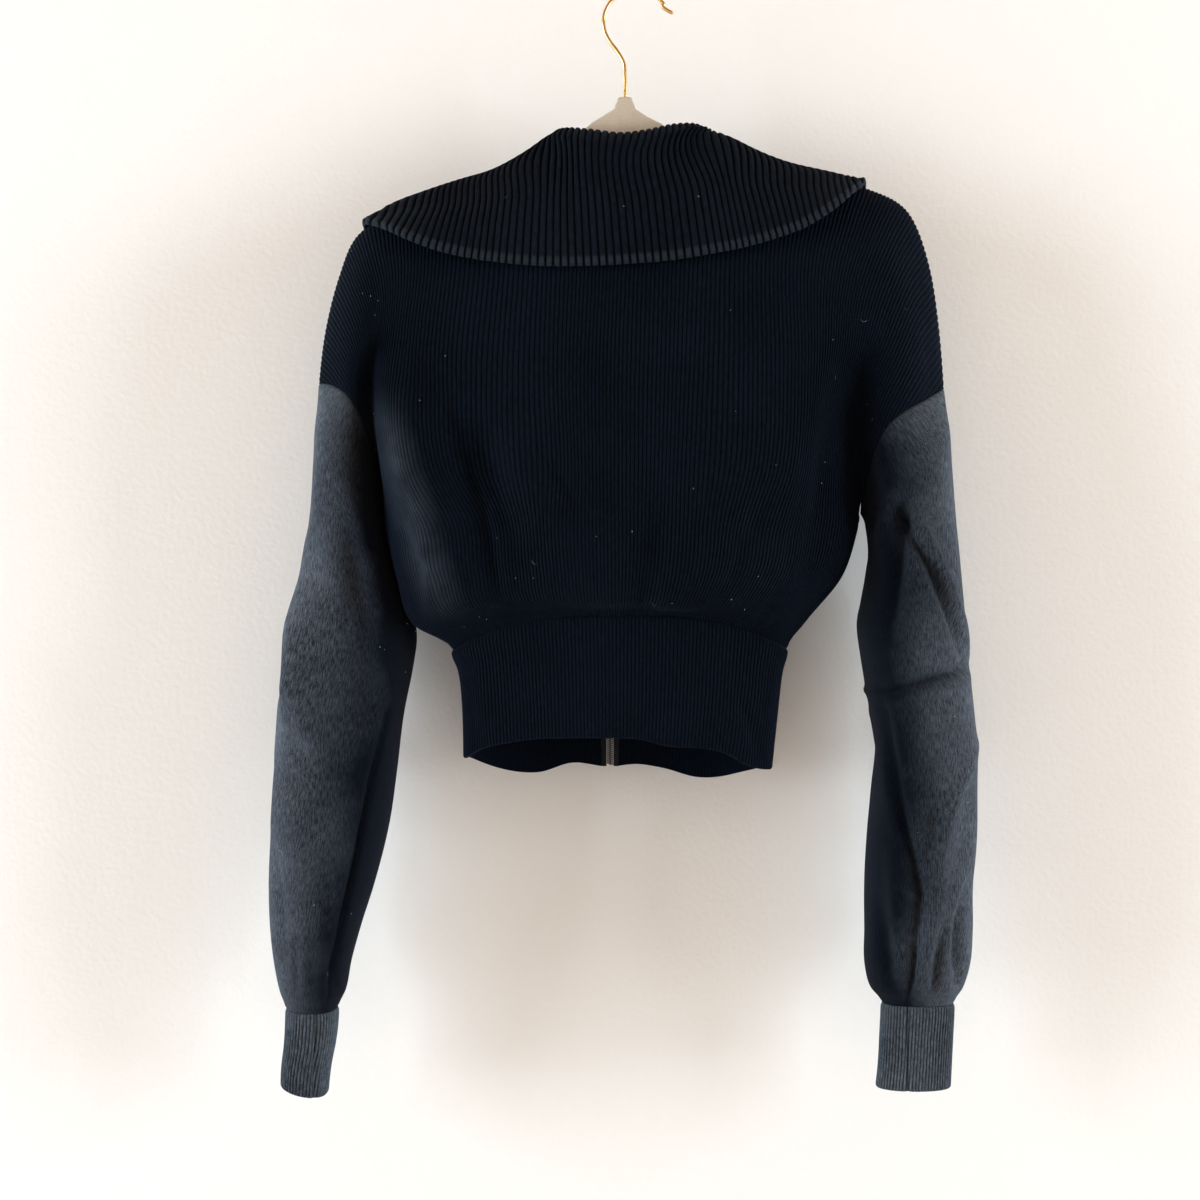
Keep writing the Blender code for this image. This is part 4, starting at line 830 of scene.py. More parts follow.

# ---------------------------------------------------------------- sleeves
# Full sleeves in a plain, brushed gauge that shows as a fine heather. Each is a tube from the
# dropped armhole, puffed at the elbow and gathered into its cuff, with painted shade along its
# inner side and painted light along its outer one.

SLEEVE_WALL = 2.2
SLEEVES = {
    "left": [
        # outer x, z, inner x, z, y, half depth
        (-243, -329, -191.5, -397, 2, 42),
        (-245, -356, -189, -418, 4, 44),
        (-249, -396, -182, -440, 10, 45),
        (-255, -432, -173, -464, 12, 45),
        (-262, -470, -168, -488, 10, 44),
        (-268, -512, -170, -512, 6, 43),
        (-273, -554, -177, -550, 2, 42),
        (-275, -595, -182, -592, 1, 41),
        (-277, -640, -188, -634, 0, 40),
        (-278, -683, -200, -681, 0, 39),
        (-277, -709, -209, -709, 0, 38),
        (-274, -736, -217, -738, 0, 35),
        (-270, -757, -221, -759, 0, 30),
        (-266, -771, -226, -772, 0, 25),
    ],
    "right": [
        (236, -329, 175, -410, -2, 42),
        (238, -360, 176, -430, -3, 44),
        (241, -398, 174, -448, -3, 45),
        (245, -433, 171, -464, -3, 46),
        (249, -472, 168, -482, -3, 46),
        (252, -504, 171, -506, -2, 45),
        (254, -531, 176, -535, -2, 43),
        (257, -565, 182, -565, -1, 41),
        (258, -605, 179, -605, 0, 40),
        (258, -640, 176, -640, 0, 40),
        (255, -679, 174, -677, 0, 40),
        (255, -713, 174, -713, 0, 38),
        (253, -738, 174, -739, 0, 34),
        (248, -756, 178, -756, 0, 26),
        (242, -768, 186, -768, 0, 17),
    ],
}
SLEEVE_FOLDS = {
    "left": [
        (-4, 15, -264, -440, -232, -452, -205, -446),
        (4, 16, -262, -619, -255, -680, -249, -730, -248, -760),
        (-4, 15, -236, -640, -232, -690, -233, -745),
        (4, 15, -268, -520, -236, -548, -206, -560),
        (-4, 14, -262, -560, -228, -584, -202, -590),
    ],
    "right": [
        (-6, 16, 206, -398, 222, -420, 240, -470, 250, -505),
        (6, 16, 196, -400, 212, -450, 232, -500),
        (-5, 14, 180, -540, 215, -528, 250, -516),
        (5, 14, 190, -580, 204, -628, 214, -668, 206, -730),
        (5, 14, 248, -570, 233, -640, 228, -700, 218, -748),
        (-5, 13, 226, -590, 218, -650, 222, -690),
        (-5, 13, 240, -690, 230, -725, 226, -750),
    ],
}
SLEEVE_CREASES = {
    "left": [
        (-3.0, 2.0, -186, -545, -200, -610, -216, -690, -231, -764),
        (4.5, 9, -252, -420, -255, -480, -252, -530, -242, -562),
        (-6.0, 12, -214, -400, -206, -450, -202, -500, -206, -545),
        (-3.0, 8, -268, -430, -272, -480, -270, -530),
        (-1.6, 7, -250, -350, -252, -396, -258, -440),
        (2.4, 6, -262, -470, -256, -520, -262, -566),
        (3.4, 8, -262, -548, -240, -562, -226, -590),
        (-3.0, 7, -268, -590, -246, -606, -226, -600),
        (2.6, 7, -250, -640, -244, -690, -246, -740),
        (-3.0, 6, -272, -640, -262, -690, -258, -752),
        (2.6, 5, -240, -690, -242, -735, -240, -768),
        (-2.6, 4, -250, -706, -253, -766),
        (2.4, 6, -212, -600, -220, -650, -228, -710),
        (-1.6, 8, -206, -470, -222, -520, -232, -560),
        (-1.6, 4, -226, -724, -224, -766),
    ],
    "right": [
        (6.0, 6, 174, -338, 182, -362, 189, -388, 186, -408, 177, -428),
        (-7.0, 6, 197, -392, 194, -416, 189, -450, 185, -490),
        (-5.5, 4.5, 190, -392, 210, -432, 230, -474, 247, -512),
        (5.0, 5, 200, -390, 220, -430, 240, -472, 254, -504),
        (-5.0, 3.2, 174, -532, 194, -528, 214, -522, 234, -516, 253, -511),
        (3.4, 5, 178, -542, 204, -534, 230, -526, 250, -520),
        (2.4, 5, 186, -520, 206, -514, 232, -506),
        (-5.0, 4, 182, -542, 190, -582, 197, -622, 210, -679, 206, -724),
        (4.5, 6, 250, -570, 232, -610, 222, -650, 220, -690, 213, -740),
        (-3.4, 8, 246, -600, 240, -640, 234, -672),
        (-4.0, 5, 248, -672, 238, -700, 240, -735, 242, -762),
        (3.0, 5, 232, -690, 229, -724, 232, -762),
        (-3.0, 3.4, 222, -700, 220, -735, 222, -764),
        (-4.0, 2.4, 206, -720, 204, -745, 203, -768),
        (3.0, 6, 190, -650, 192, -690, 196, -740),
        (-2.4, 5, 182, -690, 186, -724, 192, -756),
    ],
}
CREASE_GAIN = 1.5
SLEEVE_SQUARE = 2.15
FACING_REACH = 25
ARMHOLE_FADE = 40
CUFF_FADE = 25
SLEEVE_COLUMNS = 200
SLEEVE_RINGS = 200
RINGS_BY_BODY = 90
SLEEVE_CLEAR = 0.5
LOOP_ROWS = ARMPIT * np.linspace(0, 1, SLEEVE_COLUMNS // 2 + 1) ** 1.35


def ellipse_ring(section, places):
    """A sleeve's or cuff's section from its outer side round the back, by shares of its length."""
    outer_x, outer_z, inner_x, inner_z, y, half_depth = section
    outer = np.array((outer_x, y, outer_z), float)
    inner = np.array((inner_x, y, inner_z), float)
    middle, reach = (outer + inner) / 2, (outer - inner) / 2
    angle = np.linspace(0, 2 * math.pi, 3 * SECTION_STEPS - 2)
    along, deep = squared(angle, SLEEVE_SQUARE)
    ring = middle + along[:, None] * reach - deep[:, None] * np.array((0, half_depth, 0))
    length = lengths_along(ring)
    turn = np.interp(places * length[-1], length, angle)
    return np.stack([np.interp(turn, angle, ring[:, k]) for k in range(3)], axis=1)


def armhole(hand):
    """The armhole's seam as a closed loop: over the back to the armpit, and up the front."""
    u = np.array([0.0 if hand == "left" else 1.0])
    back_edge = body_points(u, LOOP_ROWS, -1)[:, 0]
    front_edge = body_points(u, LOOP_ROWS, 1)[:, 0]
    return np.concatenate([back_edge, front_edge[-2:0:-1]])


def sleeve_face(hand):
    """A sleeve's outer face: the armhole's loop and level rings joined smoothly, then raised
    or sunk along its folds, more on the back than on the front."""
    half_places = LOOP_ROWS / ARMPIT / 2
    places = np.concatenate([half_places, 1 - half_places[-2:0:-1]])
    rings = np.stack([armhole(hand)] + [ellipse_ring(s, places) for s in SLEEVES[hand]])
    knots = lengths_along(rings)
    at = np.concatenate([
        np.linspace(0, 6, 6), np.linspace(6, knots[-1] - 5, SLEEVE_RINGS - 11)[1:],
        np.linspace(knots[-1] - 5, knots[-1], 6)[1:]
    ])
    points = smooth(knots, rings, at, last=DOWN)
    turn = 1 if hand == "left" else -1
    normals = grid_normals(points, turn, wrap=True)
    on_back = np.clip(-normals[..., 1] * 2, -0.6, 1)
    rise = fold_rise(points, SLEEVE_FOLDS[hand])
    rise = (rise + CREASE_GAIN * fold_rise(points, SLEEVE_CREASES[hand])) * on_back
    fade = np.clip(at / ARMHOLE_FADE, 0, 1) * np.clip((at[-1] - at) / CUFF_FADE, 0, 1)
    points = points + normals * (rise * fade[:, None])[..., None]
    return points, grid_normals(points, turn, wrap=True), at, places


def body_tree():
    """A search tree of the body's outer faces, which sleeves and collar keep clear of."""
    vertices, faces = [], []
    columns, rows = np.linspace(0, 1, 81), WAIST * np.linspace(0, 1, 61) ** 1.3
    for side in (-1, 1):
        points, _ = body_face(columns, rows, side, small=False)
        corners = grid_triangles(len(rows), len(columns), len(vertices))
        faces += (corners if side < 0 else corners[:, ::-1]).tolist()
        vertices += points.reshape(-1, 3).tolist()
    return BVHTree.FromPolygons(vertices, faces)


def gaps_to(tree, points):
    """Each place's height over the nearest face of the body, that face's normal, and how far
    away it is."""
    found = [tree.find_nearest(Vector(p)) for p in points.reshape(-1, 3).tolist()]
    near = np.array([f[0][:] for f in found]).reshape(points.shape)
    normal = np.array([f[1][:] for f in found]).reshape(points.shape)
    away = np.array([f[3] for f in found]).reshape(points.shape[:-1])
    return ((points - near) * normal).sum(axis=-1), normal, away


BODY_TREE = body_tree()


def part_from_body(points, normals):
    """Moves a sleeve off the body's side, where the two faces look at each other."""
    gap, away_from, distance = gaps_to(BODY_TREE, points)
    facing = (away_from * normals).sum(axis=-1) < 0.2
    short = np.where(facing & (distance < FACING_REACH), np.clip(SLEEVE_CLEAR - gap, 0, None), 0)
    return points + away_from * short[..., None]


# The sleeves' pale end is set high to stand for light on their outer sides: painted light.
plain_knit = knit_material(
    "black_brushed_knit", (0.0020, 0.0040, 0.0085), (0.175, 0.205, 0.25), 0.75, 0.25, 0.0006, 0.8
)
WALE = 1.7
SLEEVE_GIRTH = 300
SLEEVE_LENGTH = {"left": 480, "right": 475}
SLEEVE_PAINTED_SHADE = (0.0022, 0.0048, 0.0115)
TUCK = 2.0


def paint_sleeve_shading(material):
    """Painted light and shade on a sleeve: its tone stays palest along the outer side, which faces
    the light, and darkens to a painted shade along its inner one: a cosine of the way round, made
    uneven by broad soft clouds."""
    tree = material.node_tree
    around = axes_of(tree, cloth_map(tree))["X"]
    turn = math_of(tree, "MULTIPLY", around, 2 * math.pi * WALE / SLEEVE_GIRTH)
    lit_side = math_of(tree, "MULTIPLY_ADD", math_of(tree, "COSINE", turn), 0.5, 0.5)
    cloud = noise_of(tree, add_node(tree, "TexCoord").outputs["Object"], 15, 3, 0.6)
    share = math_of(tree, "MULTIPLY_ADD", cloud, 0.6, lit_side)
    share = math_of(tree, "MULTIPLY_ADD", ramp_of(tree, share, 0.48, 1.30), 0.95, 0.05)
    # Painted shade: the inner side of each sleeve is mixed down to a dark tone.
    retone(material, share, low=SLEEVE_PAINTED_SHADE)


paint_sleeve_shading(plain_knit)
sleeve_ends = {}
for hand, length in SLEEVE_LENGTH.items():
    points, normals, at, places = sleeve_face(hand)
    near = slice(1, RINGS_BY_BODY)
    points[near] = part_from_body(points[near], normals[near])
    dip = seam_dip(at, 1.0) + seam_dip(at[-1] - at, 1.2, 1.8)
    points = points + normals * dip[:, None, None]
    tucked = points[0] - TUCK * unit(points[1] - points[0]) - 1.2 * normals[0]
    points = np.concatenate([tucked[None], points])
    normals = np.concatenate([normals[:1], normals])
    at = np.concatenate([[-TUCK], at])
    points, normals = [np.concatenate([g, g[:, :1]], axis=1) for g in (points, normals)]
    around = np.append(places, 1.0) * SLEEVE_GIRTH / WALE
    sleeve, _ = closed_cloth(
        "sleeve_" + hand + "_knit", points, normals, 0.0, SLEEVE_WALL, 2, around, at[:, None],
        plain_knit, wrap=True
    )
    sleeve_ends[hand] = (points, normals)
    add_cloth(sleeve, "brushed_knit", "sleeve_" + hand)

# ---------------------------------------------------------------- cuffs
# Long narrow cuffs of fine rib, sewn to the gathered sleeve end and open at the wrist. A pressed
# seam runs down each at the back.

RIB_WALL = 3.0
CUFFS = {
    "left": [
        (-267, -798, -228, -797, 0, 25.5),
        (-269, -816, -232, -818, 0, 25.5),
        (-269.5, -829, -234, -837, 0, 25),
    ],
    "right": [
        (241, -792, 185, -792, 0, 15.5),
        (240, -812, 184, -812, 0, 15.5),
        (239, -832, 182, -832, 0, 16),
    ],
}
CUFF_RIBS = {"left": 54, "right": 60}
CUFF_SEAM = {"left": -240, "right": 204}
CUFF_ROWS = 30
SEAM_GAP = 0.3
cuff_rib = knit_material(
    "black_cuff_rib", (0.0080, 0.0125, 0.0200), (0.165, 0.195, 0.235), 0.62, 0.6
)


def edge_ribs(ribs, at, depth, start, reach, dip, curl):
    """Ribs that swell out of a sewn seam (at = 0) and curl in at the open edge."""
    rise = depth * (rib_profile(ribs)[None] - 1) * np.clip(start + at / reach, 0, 1)[:, None]
    edge = np.clip(1 - (at[-1] - at) / curl, 0, 1)
    return rise + (seam_dip(at, dip, 1.6) - 0.9 * edge**2)[:, None]


for hand, count in CUFF_RIBS.items():
    places = np.arange(count * PER_RIB + 1) / (count * PER_RIB)
    seam = list(SLEEVES[hand][-1])
    seam[1] -= SEAM_GAP
    seam[3] -= SEAM_GAP
    rings = np.stack([ellipse_ring(s, places) for s in [seam] + CUFFS[hand]])
    knots = lengths_along(rings)
    at = np.concatenate([np.linspace(0, knots[-1] - 3, CUFF_ROWS - 3),
                         knots[-1] - np.array((2.0, 1.0, 0.0))])
    points = smooth(knots, rings, at, first=DOWN)
    normals = grid_normals(points[:, :-1], 1 if hand == "left" else -1, wrap=True)
    normals[..., 2] *= 0.3
    normals = unit(np.concatenate([normals, normals[:, :1]], axis=1))
    ribs = places * count
    rise = edge_ribs(ribs, at, 0.9, 0.5, 8, 1.0, 1.5)
    behind = normals[..., 1] < 0
    rise = rise + behind * seam_dip(points[..., 0] - CUFF_SEAM[hand], 1.9, 1.6)
    cuff, _ = closed_cloth(
        "cuff_" + hand + "_rib", points, normals, rise, RIB_WALL, PER_RIB, ribs, at[:, None],
        cuff_rib, wrap=True
    )
    add_cloth(cuff, "fine_rib_knit", "cuff_" + hand)

# ---------------------------------------------------------------- waistband
# A deep band of firm fine rib in three pieces, sewn to the gathered waist. Its raw-knit lower
# edge waves a little and stands open.

BAND = [
    (-135, -516, 111, -517, 49.5, -500, 48, -519, 2.8),
    (-132, -542, 107, -551, 49, -534, 48, -549, 2.8),
    (-131, -582, 103, -590, 46, -567, 44, -594, 2.8),
]
HEM = np.array([
    # x, back z, front z
    (-131, -582, -582),
    (-120, -575, -588),
    (-100, -569, -595),
    (-75, -565, -597),
    (-50, -564, -590),
    (-20, -564, -593),
    (2, -565, -591),
    (22, -570, -594),
    (50, -572, -601),
    (68, -577, -600),
    (80, -584, -597),
    (103, -590, -590),
])
BAND_RIBS = 108
BAND_ROWS = 44
BAND_CREASES = [
    (1.6, 7, -118, -512, -112, -548, -100, -570),
    (-1.4, 5, -126, -520, -122, -560, -119, -580),
    (-2.2, 9, -84, -520, -80, -545, -72, -566),
    (2.0, 8, 66, -540, 74, -560, 86, -582),
    (-2.4, 6, 74, -530, 84, -556, 92, -584),
    (-1.6, 10, -22, -500, -16, -540, -20, -566),
    (1.2, 12, 18, -500, 24, -540, 22, -570),
]


def band_face(u, side):
    """The waistband's outer face, from the waist seam to its wavy lower edge."""
    rows = np.stack([torso_row(s, u, side) for s in [TORSO[-1]] + BAND])
    rows[0, :, 2] -= SEAM_GAP
    rows[-1, :, 2] = smooth(HEM[:, 0], HEM[:, 1 if side < 0 else 2], rows[-1, :, 0])
    knots = lengths_along(rows)
    at = np.concatenate([np.linspace(0, 5, 6), np.linspace(5, knots[-1] - 3, BAND_ROWS - 9)[1:],
                         knots[-1] - np.array((2.2, 1.4, 0.7, 0.0))])
    points = smooth(knots, rows, at, first=DOWN)
    normals = grid_normals(points, -side)
    normals[..., 2] = 0
    normals = unit(normals)
    if side < 0:
        rise = fold_rise(points, BAND_CREASES) * np.clip(at / 20, 0, 1)[:, None]
        points = points + normals * rise[..., None]
    return points, normals, at


def band_piece(name, node, side, u):
    """Part of the band: ribs stand on its own columns, counted from its own width."""
    points, normals, at = band_face(u, side)
    ribs = np.arange(len(u)) / PER_RIB
    rise = edge_ribs(ribs, at, RIB_DEPTH, 0.4, 6, 1.1, 1.6)
    to_left, to_right = edge_lengths(points)
    rise = rise + seam_dip(np.minimum(to_left, to_right), SIDE_DIP)
    piece, _ = closed_cloth(
        name, points, normals, rise, RIB_WALL, PER_RIB, ribs, at[:, None], fine_rib
    )
    add_cloth(piece, "fine_rib_knit", node)


band_piece("band_back", "waistband_back", -1, np.linspace(0, 1, BAND_RIBS * PER_RIB + 1))
for hand, start, stop in (("left", 0.0, left_edge[-1]), ("right", right_edge[-1], 1.0)):
    columns = np.linspace(start, stop, BAND_RIBS // 2 * PER_RIB + 1)
    band_piece("band_front_" + hand, "waistband_front_" + hand, 1, columns)

# ---------------------------------------------------------------- collar
# A very wide collar of chunky rib. It stands up from the neckline, folds over on itself and
# falls over both shoulders to two points in front, its ribs fanning out to a rounded edge.

COLLAR_WALL = 3.2
COLLAR_RIBS = 62
FOLD_RADIUS = 4.4
COLLAR_CLEAR = COLLAR_WALL + 2.2
COLLAR_SPREAD = 9
LIFT_ROUNDS = 4
LIFT_GAIN = 1.15
CALM_SPREAD = 6
STAND_LIFT = 2.3
FALL = np.array([
    # rib, crest x, y, z, edge x, y, z
    (-62, -46, 57, -292, -62, 64, -318),
    (-54, -84, 56, -262, -118, 62, -287),
    (-46, -122, 48, -226, -168, 51, -249),
    (-40, -165, 30, -188, -197, 33, -208),
    (-35.4, -198, 4, -167, -204, -6, -178),
    (-33, -180, 0, -160, -187, -30, -186),
    (-30, -157, 0, -152, -172, -42, -194),
    (-25, -131, 0, -144, -145, -46, -205),
    (-20, -108, 0, -137, -119, -46, -211),
    (-16, -90, -3, -127, -99, -46, -214),
    (-12, -71, -7, -117, -76, -46, -216),
    (-6, -46, -26, -124, -42, -46, -216.5),
    (0, -15, -30, -130, -8, -46, -215),
    (6, 17, -26, -122, 26, -46, -212),
    (12, 47, -12, -107, 61, -46, -206),
    (16, 63, -4, -109, 80, -46, -202),
    (20, 84, 0, -118, 100, -46, -196),
    (25, 115, 0, -130, 123, -46, -187),
    (30, 145, 0, -137, 146, -44, -172),
    (33, 160, 0, -141, 160, -30, -160),
    (34.6, 167, 4, -143, 171, -8, -151),
    (39, 142, 28, -164, 168, 30, -184),
    (45, 100, 46, -204, 140, 50, -224),
    (53, 57, 55, -250, 92, 61, -272),
    (62, 7, 58, -292, 28, 64, -318),
])
STAND_SHARES = np.array((0.0, 0.15, 0.35, 0.6, 0.8))
ARC_ANGLES = np.array((0.0, 20.0, 40.0, 60.0, 80.0, 100.0))
CREST_SHARE = 0.45
FALL_SHARES = np.concatenate([np.linspace(0, 0.96, 34), (0.97, 0.98, 0.99, 1.0)])
COARSE_PER_RIB = 2
FINE_PER_RIB = 10
COLLAR_RELIEF = 1.9
COLLAR_GROOVE = 0.6
EDGE_CURL = 1.8


def push_clear(points, clear):
    """Moves places out from the body until they are this far from it."""
    gap, away_from, _ = gaps_to(BODY_TREE, points)
    return points + away_from * np.clip(clear - gap, 0, None)[..., None]


def spread(values, reach):
    """Values averaged with a soft window along their second-last axis."""
    window = np.hanning(2 * reach + 3)[1:-1]
    window /= window.sum()
    pad = [(0, 0)] * values.ndim
    pad[-2] = (reach, reach)
    wide = np.pad(values, pad, mode="edge")
    count = values.shape[-2]
    return sum(w * wide[..., k : k + count, :] for k, w in enumerate(window))


def lay_over(points, clear):
    """Lifts a face clear of the body as one soft surface, with no kinks between its columns."""
    lifted = points
    for _ in range(LIFT_ROUNDS):
        pushed = push_clear(lifted, clear)
        lifted = points + LIFT_GAIN * spread(pushed - points, COLLAR_SPREAD)
    return push_clear(lifted, clear)


def collar_face(ribs):
    """The collar's smooth showing face: stand, fold and fall. The fold is part of a circle on
    top of the stand, and the fall is a smooth curve from it through the crest to the edge."""
    seam, fold = [smooth(NECK[:, 0], NECK[:, k : k + 3], ribs) for k in (2, 5)]
    crest, edge = [smooth(FALL[:, 0], FALL[:, k : k + 3], ribs) for k in (1, 4)]
    tangent = unit(np.gradient(fold, axis=0))
    up = fold - seam
    up = unit(up - tangent * (up * tangent).sum(axis=1, keepdims=True))
    out = crest - fold
    out -= tangent * (out * tangent).sum(axis=1, keepdims=True)
    out = unit(out - up * (out * up).sum(axis=1, keepdims=True))
    centre = fold - up * FOLD_RADIUS
    low = seam - out * COLLAR_WALL * 0.8 + up * STAND_LIFT
    top = centre - out * FOLD_RADIUS
    stand = low + (top - low) * STAND_SHARES[:, None, None]
    angle = np.radians(ARC_ANGLES)[:, None, None]
    arc = centre + FOLD_RADIUS * (up * np.sin(angle) - out * np.cos(angle))
    start = centre + FOLD_RADIUS * (up * 0.35 + out * 0.93)
    first = start + (crest - start) * 0.5 + out * 2
    controls = np.stack([start, first, crest, (crest + edge) / 2, edge])
    controls[1:] = lay_over(controls[1:], COLLAR_CLEAR)
    fall = np.empty((len(FALL_SHARES), len(ribs), 3))
    for c in range(len(ribs)):
        steps = np.linalg.norm(np.diff(controls[:, c], axis=0), axis=1)
        knots = np.concatenate([[0], np.cumsum(np.maximum(steps, 0.5))])
        at = np.interp(FALL_SHARES, (0, CREST_SHARE, 1), knots[[0, 2, 4]])
        fall[:, c] = smooth(knots, controls[:, c], at)
    fall = lay_over(fall, COLLAR_CLEAR)
    share = np.linspace(0, 1, len(fall))[:, None, None]
    calm = np.clip(4 * share * (1 - share), 0, 1)
    fall = fall + calm * (spread(fall, CALM_SPREAD) - fall)
    return np.concatenate([stand, arc, push_clear(fall, COLLAR_CLEAR)])


def chunky_material():
    """The collar's yarn: the same black knit, with a painted highlight on the crowns of its edge,
    where the map's y comes within a few millimetres of zero."""
    material = knit_material(
        "black_chunky_rib", (0.0026, 0.0046, 0.0092), (0.0150, 0.0215, 0.0320), 0.45, 0.92, 0.0004
    )
    tree = material.node_tree
    parts = axes_of(tree, cloth_map(tree))
    edge = ramp_of(tree, parts["Y"], 7.5, 4.5)
    crown = ramp_of(tree, off_rib(tree, parts["X"]), 0.42, 0.22)
    edge = math_of(tree, "MULTIPLY", math_of(tree, "MULTIPLY", edge, crown), 0.6)
    # Painted highlight: the crowns of the edge's ribs are mixed towards a paler tone.
    retone(material, edge, high=(0.036, 0.045, 0.058))
    return material


coarse_ribs, fine_ribs = [
    np.linspace(-COLLAR_RIBS, COLLAR_RIBS, 2 * per_rib * COLLAR_RIBS + 1)
    for per_rib in (COARSE_PER_RIB, FINE_PER_RIB)
]
face = collar_face(coarse_ribs)
face = smooth(coarse_ribs, face.transpose(1, 0, 2), fine_ribs).transpose(1, 0, 2)
collar_normals = grid_normals(face, 1)
down = np.linalg.norm(np.diff(face, axis=0), axis=2)
down = np.concatenate([np.zeros((1, face.shape[1])), np.cumsum(down, axis=0)])
from_edge = down[-1] - down
swell = 1 + 0.6 * np.exp(-((from_edge - 3) / 3.5) ** 2)
rise = COLLAR_RELIEF * swell * (rib_profile(fine_ribs, 3)[None] - COLLAR_GROOVE)
rise = rise + 0.6 * np.exp(-((from_edge - 2.6) / 2.2) ** 2)
rise = rise - EDGE_CURL * np.clip(1 - from_edge / EDGE_CURL, 0, 1) ** 2
collar, collar_points = closed_cloth(
    "collar_rib", face, collar_normals, rise, COLLAR_WALL, FINE_PER_RIB, fine_ribs, from_edge,
    chunky_material()
)
add_cloth(collar, "chunky_rib_knit", "collar")

# ---------------------------------------------------------------- zip
# A closed zip of small dark teeth on black woven tape, from the foot of the V to the hem. Its
# slider is run right up, and the pull tab hangs from the slider's arch.

CHAIN_MIDDLE = -1.3
TOOTH_PITCH = 1.6
ZIP_END = 1.5
ACROSS = np.array((1.0, 0, 0))


def zip_path():
    """The zip's line down the middle of the front, and its outward direction."""
    near = np.array((0.497, 0.5, 0.503))
    body = body_face(near, BODY_ROWS, 1)[0][:, 1]
    band = band_face(near, 1)[0][:, 1]
    path = np.concatenate([body[:-1], band])
    return path, unit(np.cross(ACROSS, unit(np.gradient(path, axis=0))))


def tooth_shape():
    """One tooth, for the left side: a bar with a rounded nose that crosses the middle."""
    x = np.array((-2.6, -0.6, 0.2, 0.75))
    half_width = np.array((0.62, 0.62, 0.78, 0.45))
    half_height = np.array((0.95, 0.95, 1.05, 0.7))
    turn = np.radians(np.arange(8) * 45 + 22.5)
    ring = np.stack([np.zeros(8), np.cos(turn), np.sin(turn)], axis=1)
    ring[:, 1:] /= np.abs(ring[:, 1:]).max()
    rings = ring[None] * np.stack([x * 0, half_width, half_height], axis=1)[:, None]
    rings[..., 0] = x[:, None]
    rings = np.concatenate([rings, rings[:, :1]], axis=1)
    ends = np.stack([np.broadcast_to((x[0], 0, 0), (9, 3)), np.broadcast_to((x[-1], 0, 0), (9, 3))])
    return np.concatenate([ends[:1], rings, ends[1:]])


def tape_material():
    """Woven tape: a fine slanting row of threads on Object coordinates."""
    material, tree, shader, place = new_material("woven_tape")
    parts = axes_of(tree, place)
    rise, slant = [math_of(tree, "MULTIPLY", parts[axis], 7000.0) for axis in "ZX"]
    thread = math_of(tree, "SINE", math_of(tree, "ADD", rise, slant))
    thread = math_of(tree, "MULTIPLY_ADD", thread, 0.5, 0.5)
    tone = mix_of(tree, thread, (0.006, 0.006, 0.007), (0.022, 0.023, 0.026))
    set_inputs(tree, shader, {"Base Color": tone, "Roughness": 0.85})
    bump_of(tree, shader, thread, 0.0002)
    return material


def read_path(at, length, values):
    return np.stack([np.interp(at, length, values[:, k]) for k in range(3)], axis=1)


path, outwards = zip_path()
length = lengths_along(path)
tooth = tooth_shape()
teeth = []
for hand, offset in ((1, 0.0), (-1, TOOTH_PITCH / 2)):
    at = np.arange(ZIP_END + offset, length[-1] - ZIP_END, TOOTH_PITCH)
    place = read_path(at, length, path)
    out = unit(read_path(at, length, outwards))
    along = unit(np.cross(out, ACROSS))
    shape = tooth[None] * np.array((hand, 1, 1))
    moved = (
        shape[..., :1] * ACROSS
        + shape[..., 1:2] * along[:, None, None]
        + shape[..., 2:] * out[:, None, None]
    )
    teeth.append(place[:, None, None] + out[:, None, None] * CHAIN_MIDDLE + moved)
dark_metal = metal_material(
    "dark_metal", (0.10, 0.10, 0.11), (0.20, 0.20, 0.21), 420, (4, 0.6), 0.25, 0.25
)
chain = grids_mesh("zip_teeth", np.concatenate(teeth), dark_metal, sharp=40)
add_piece(chain, "dark_metal", "zip_chain")
woven = tape_material()
finishes = {"zip_tape_left": woven, "zip_tape_right": woven, "slider": dark_metal,
            "pull_tab": dark_metal}
for name, finish in finishes.items():
    materials = bpy.data.objects[name].data.materials
    materials.clear()
    materials.append(finish)

# ---------------------------------------------------------------- lint
# Pale specks and short stray hairs that cling to the black knit, mostly on the back. They are
# placed at random, all by one seed.

LINT_SEED = 11
LONG_SHARE = 0.2


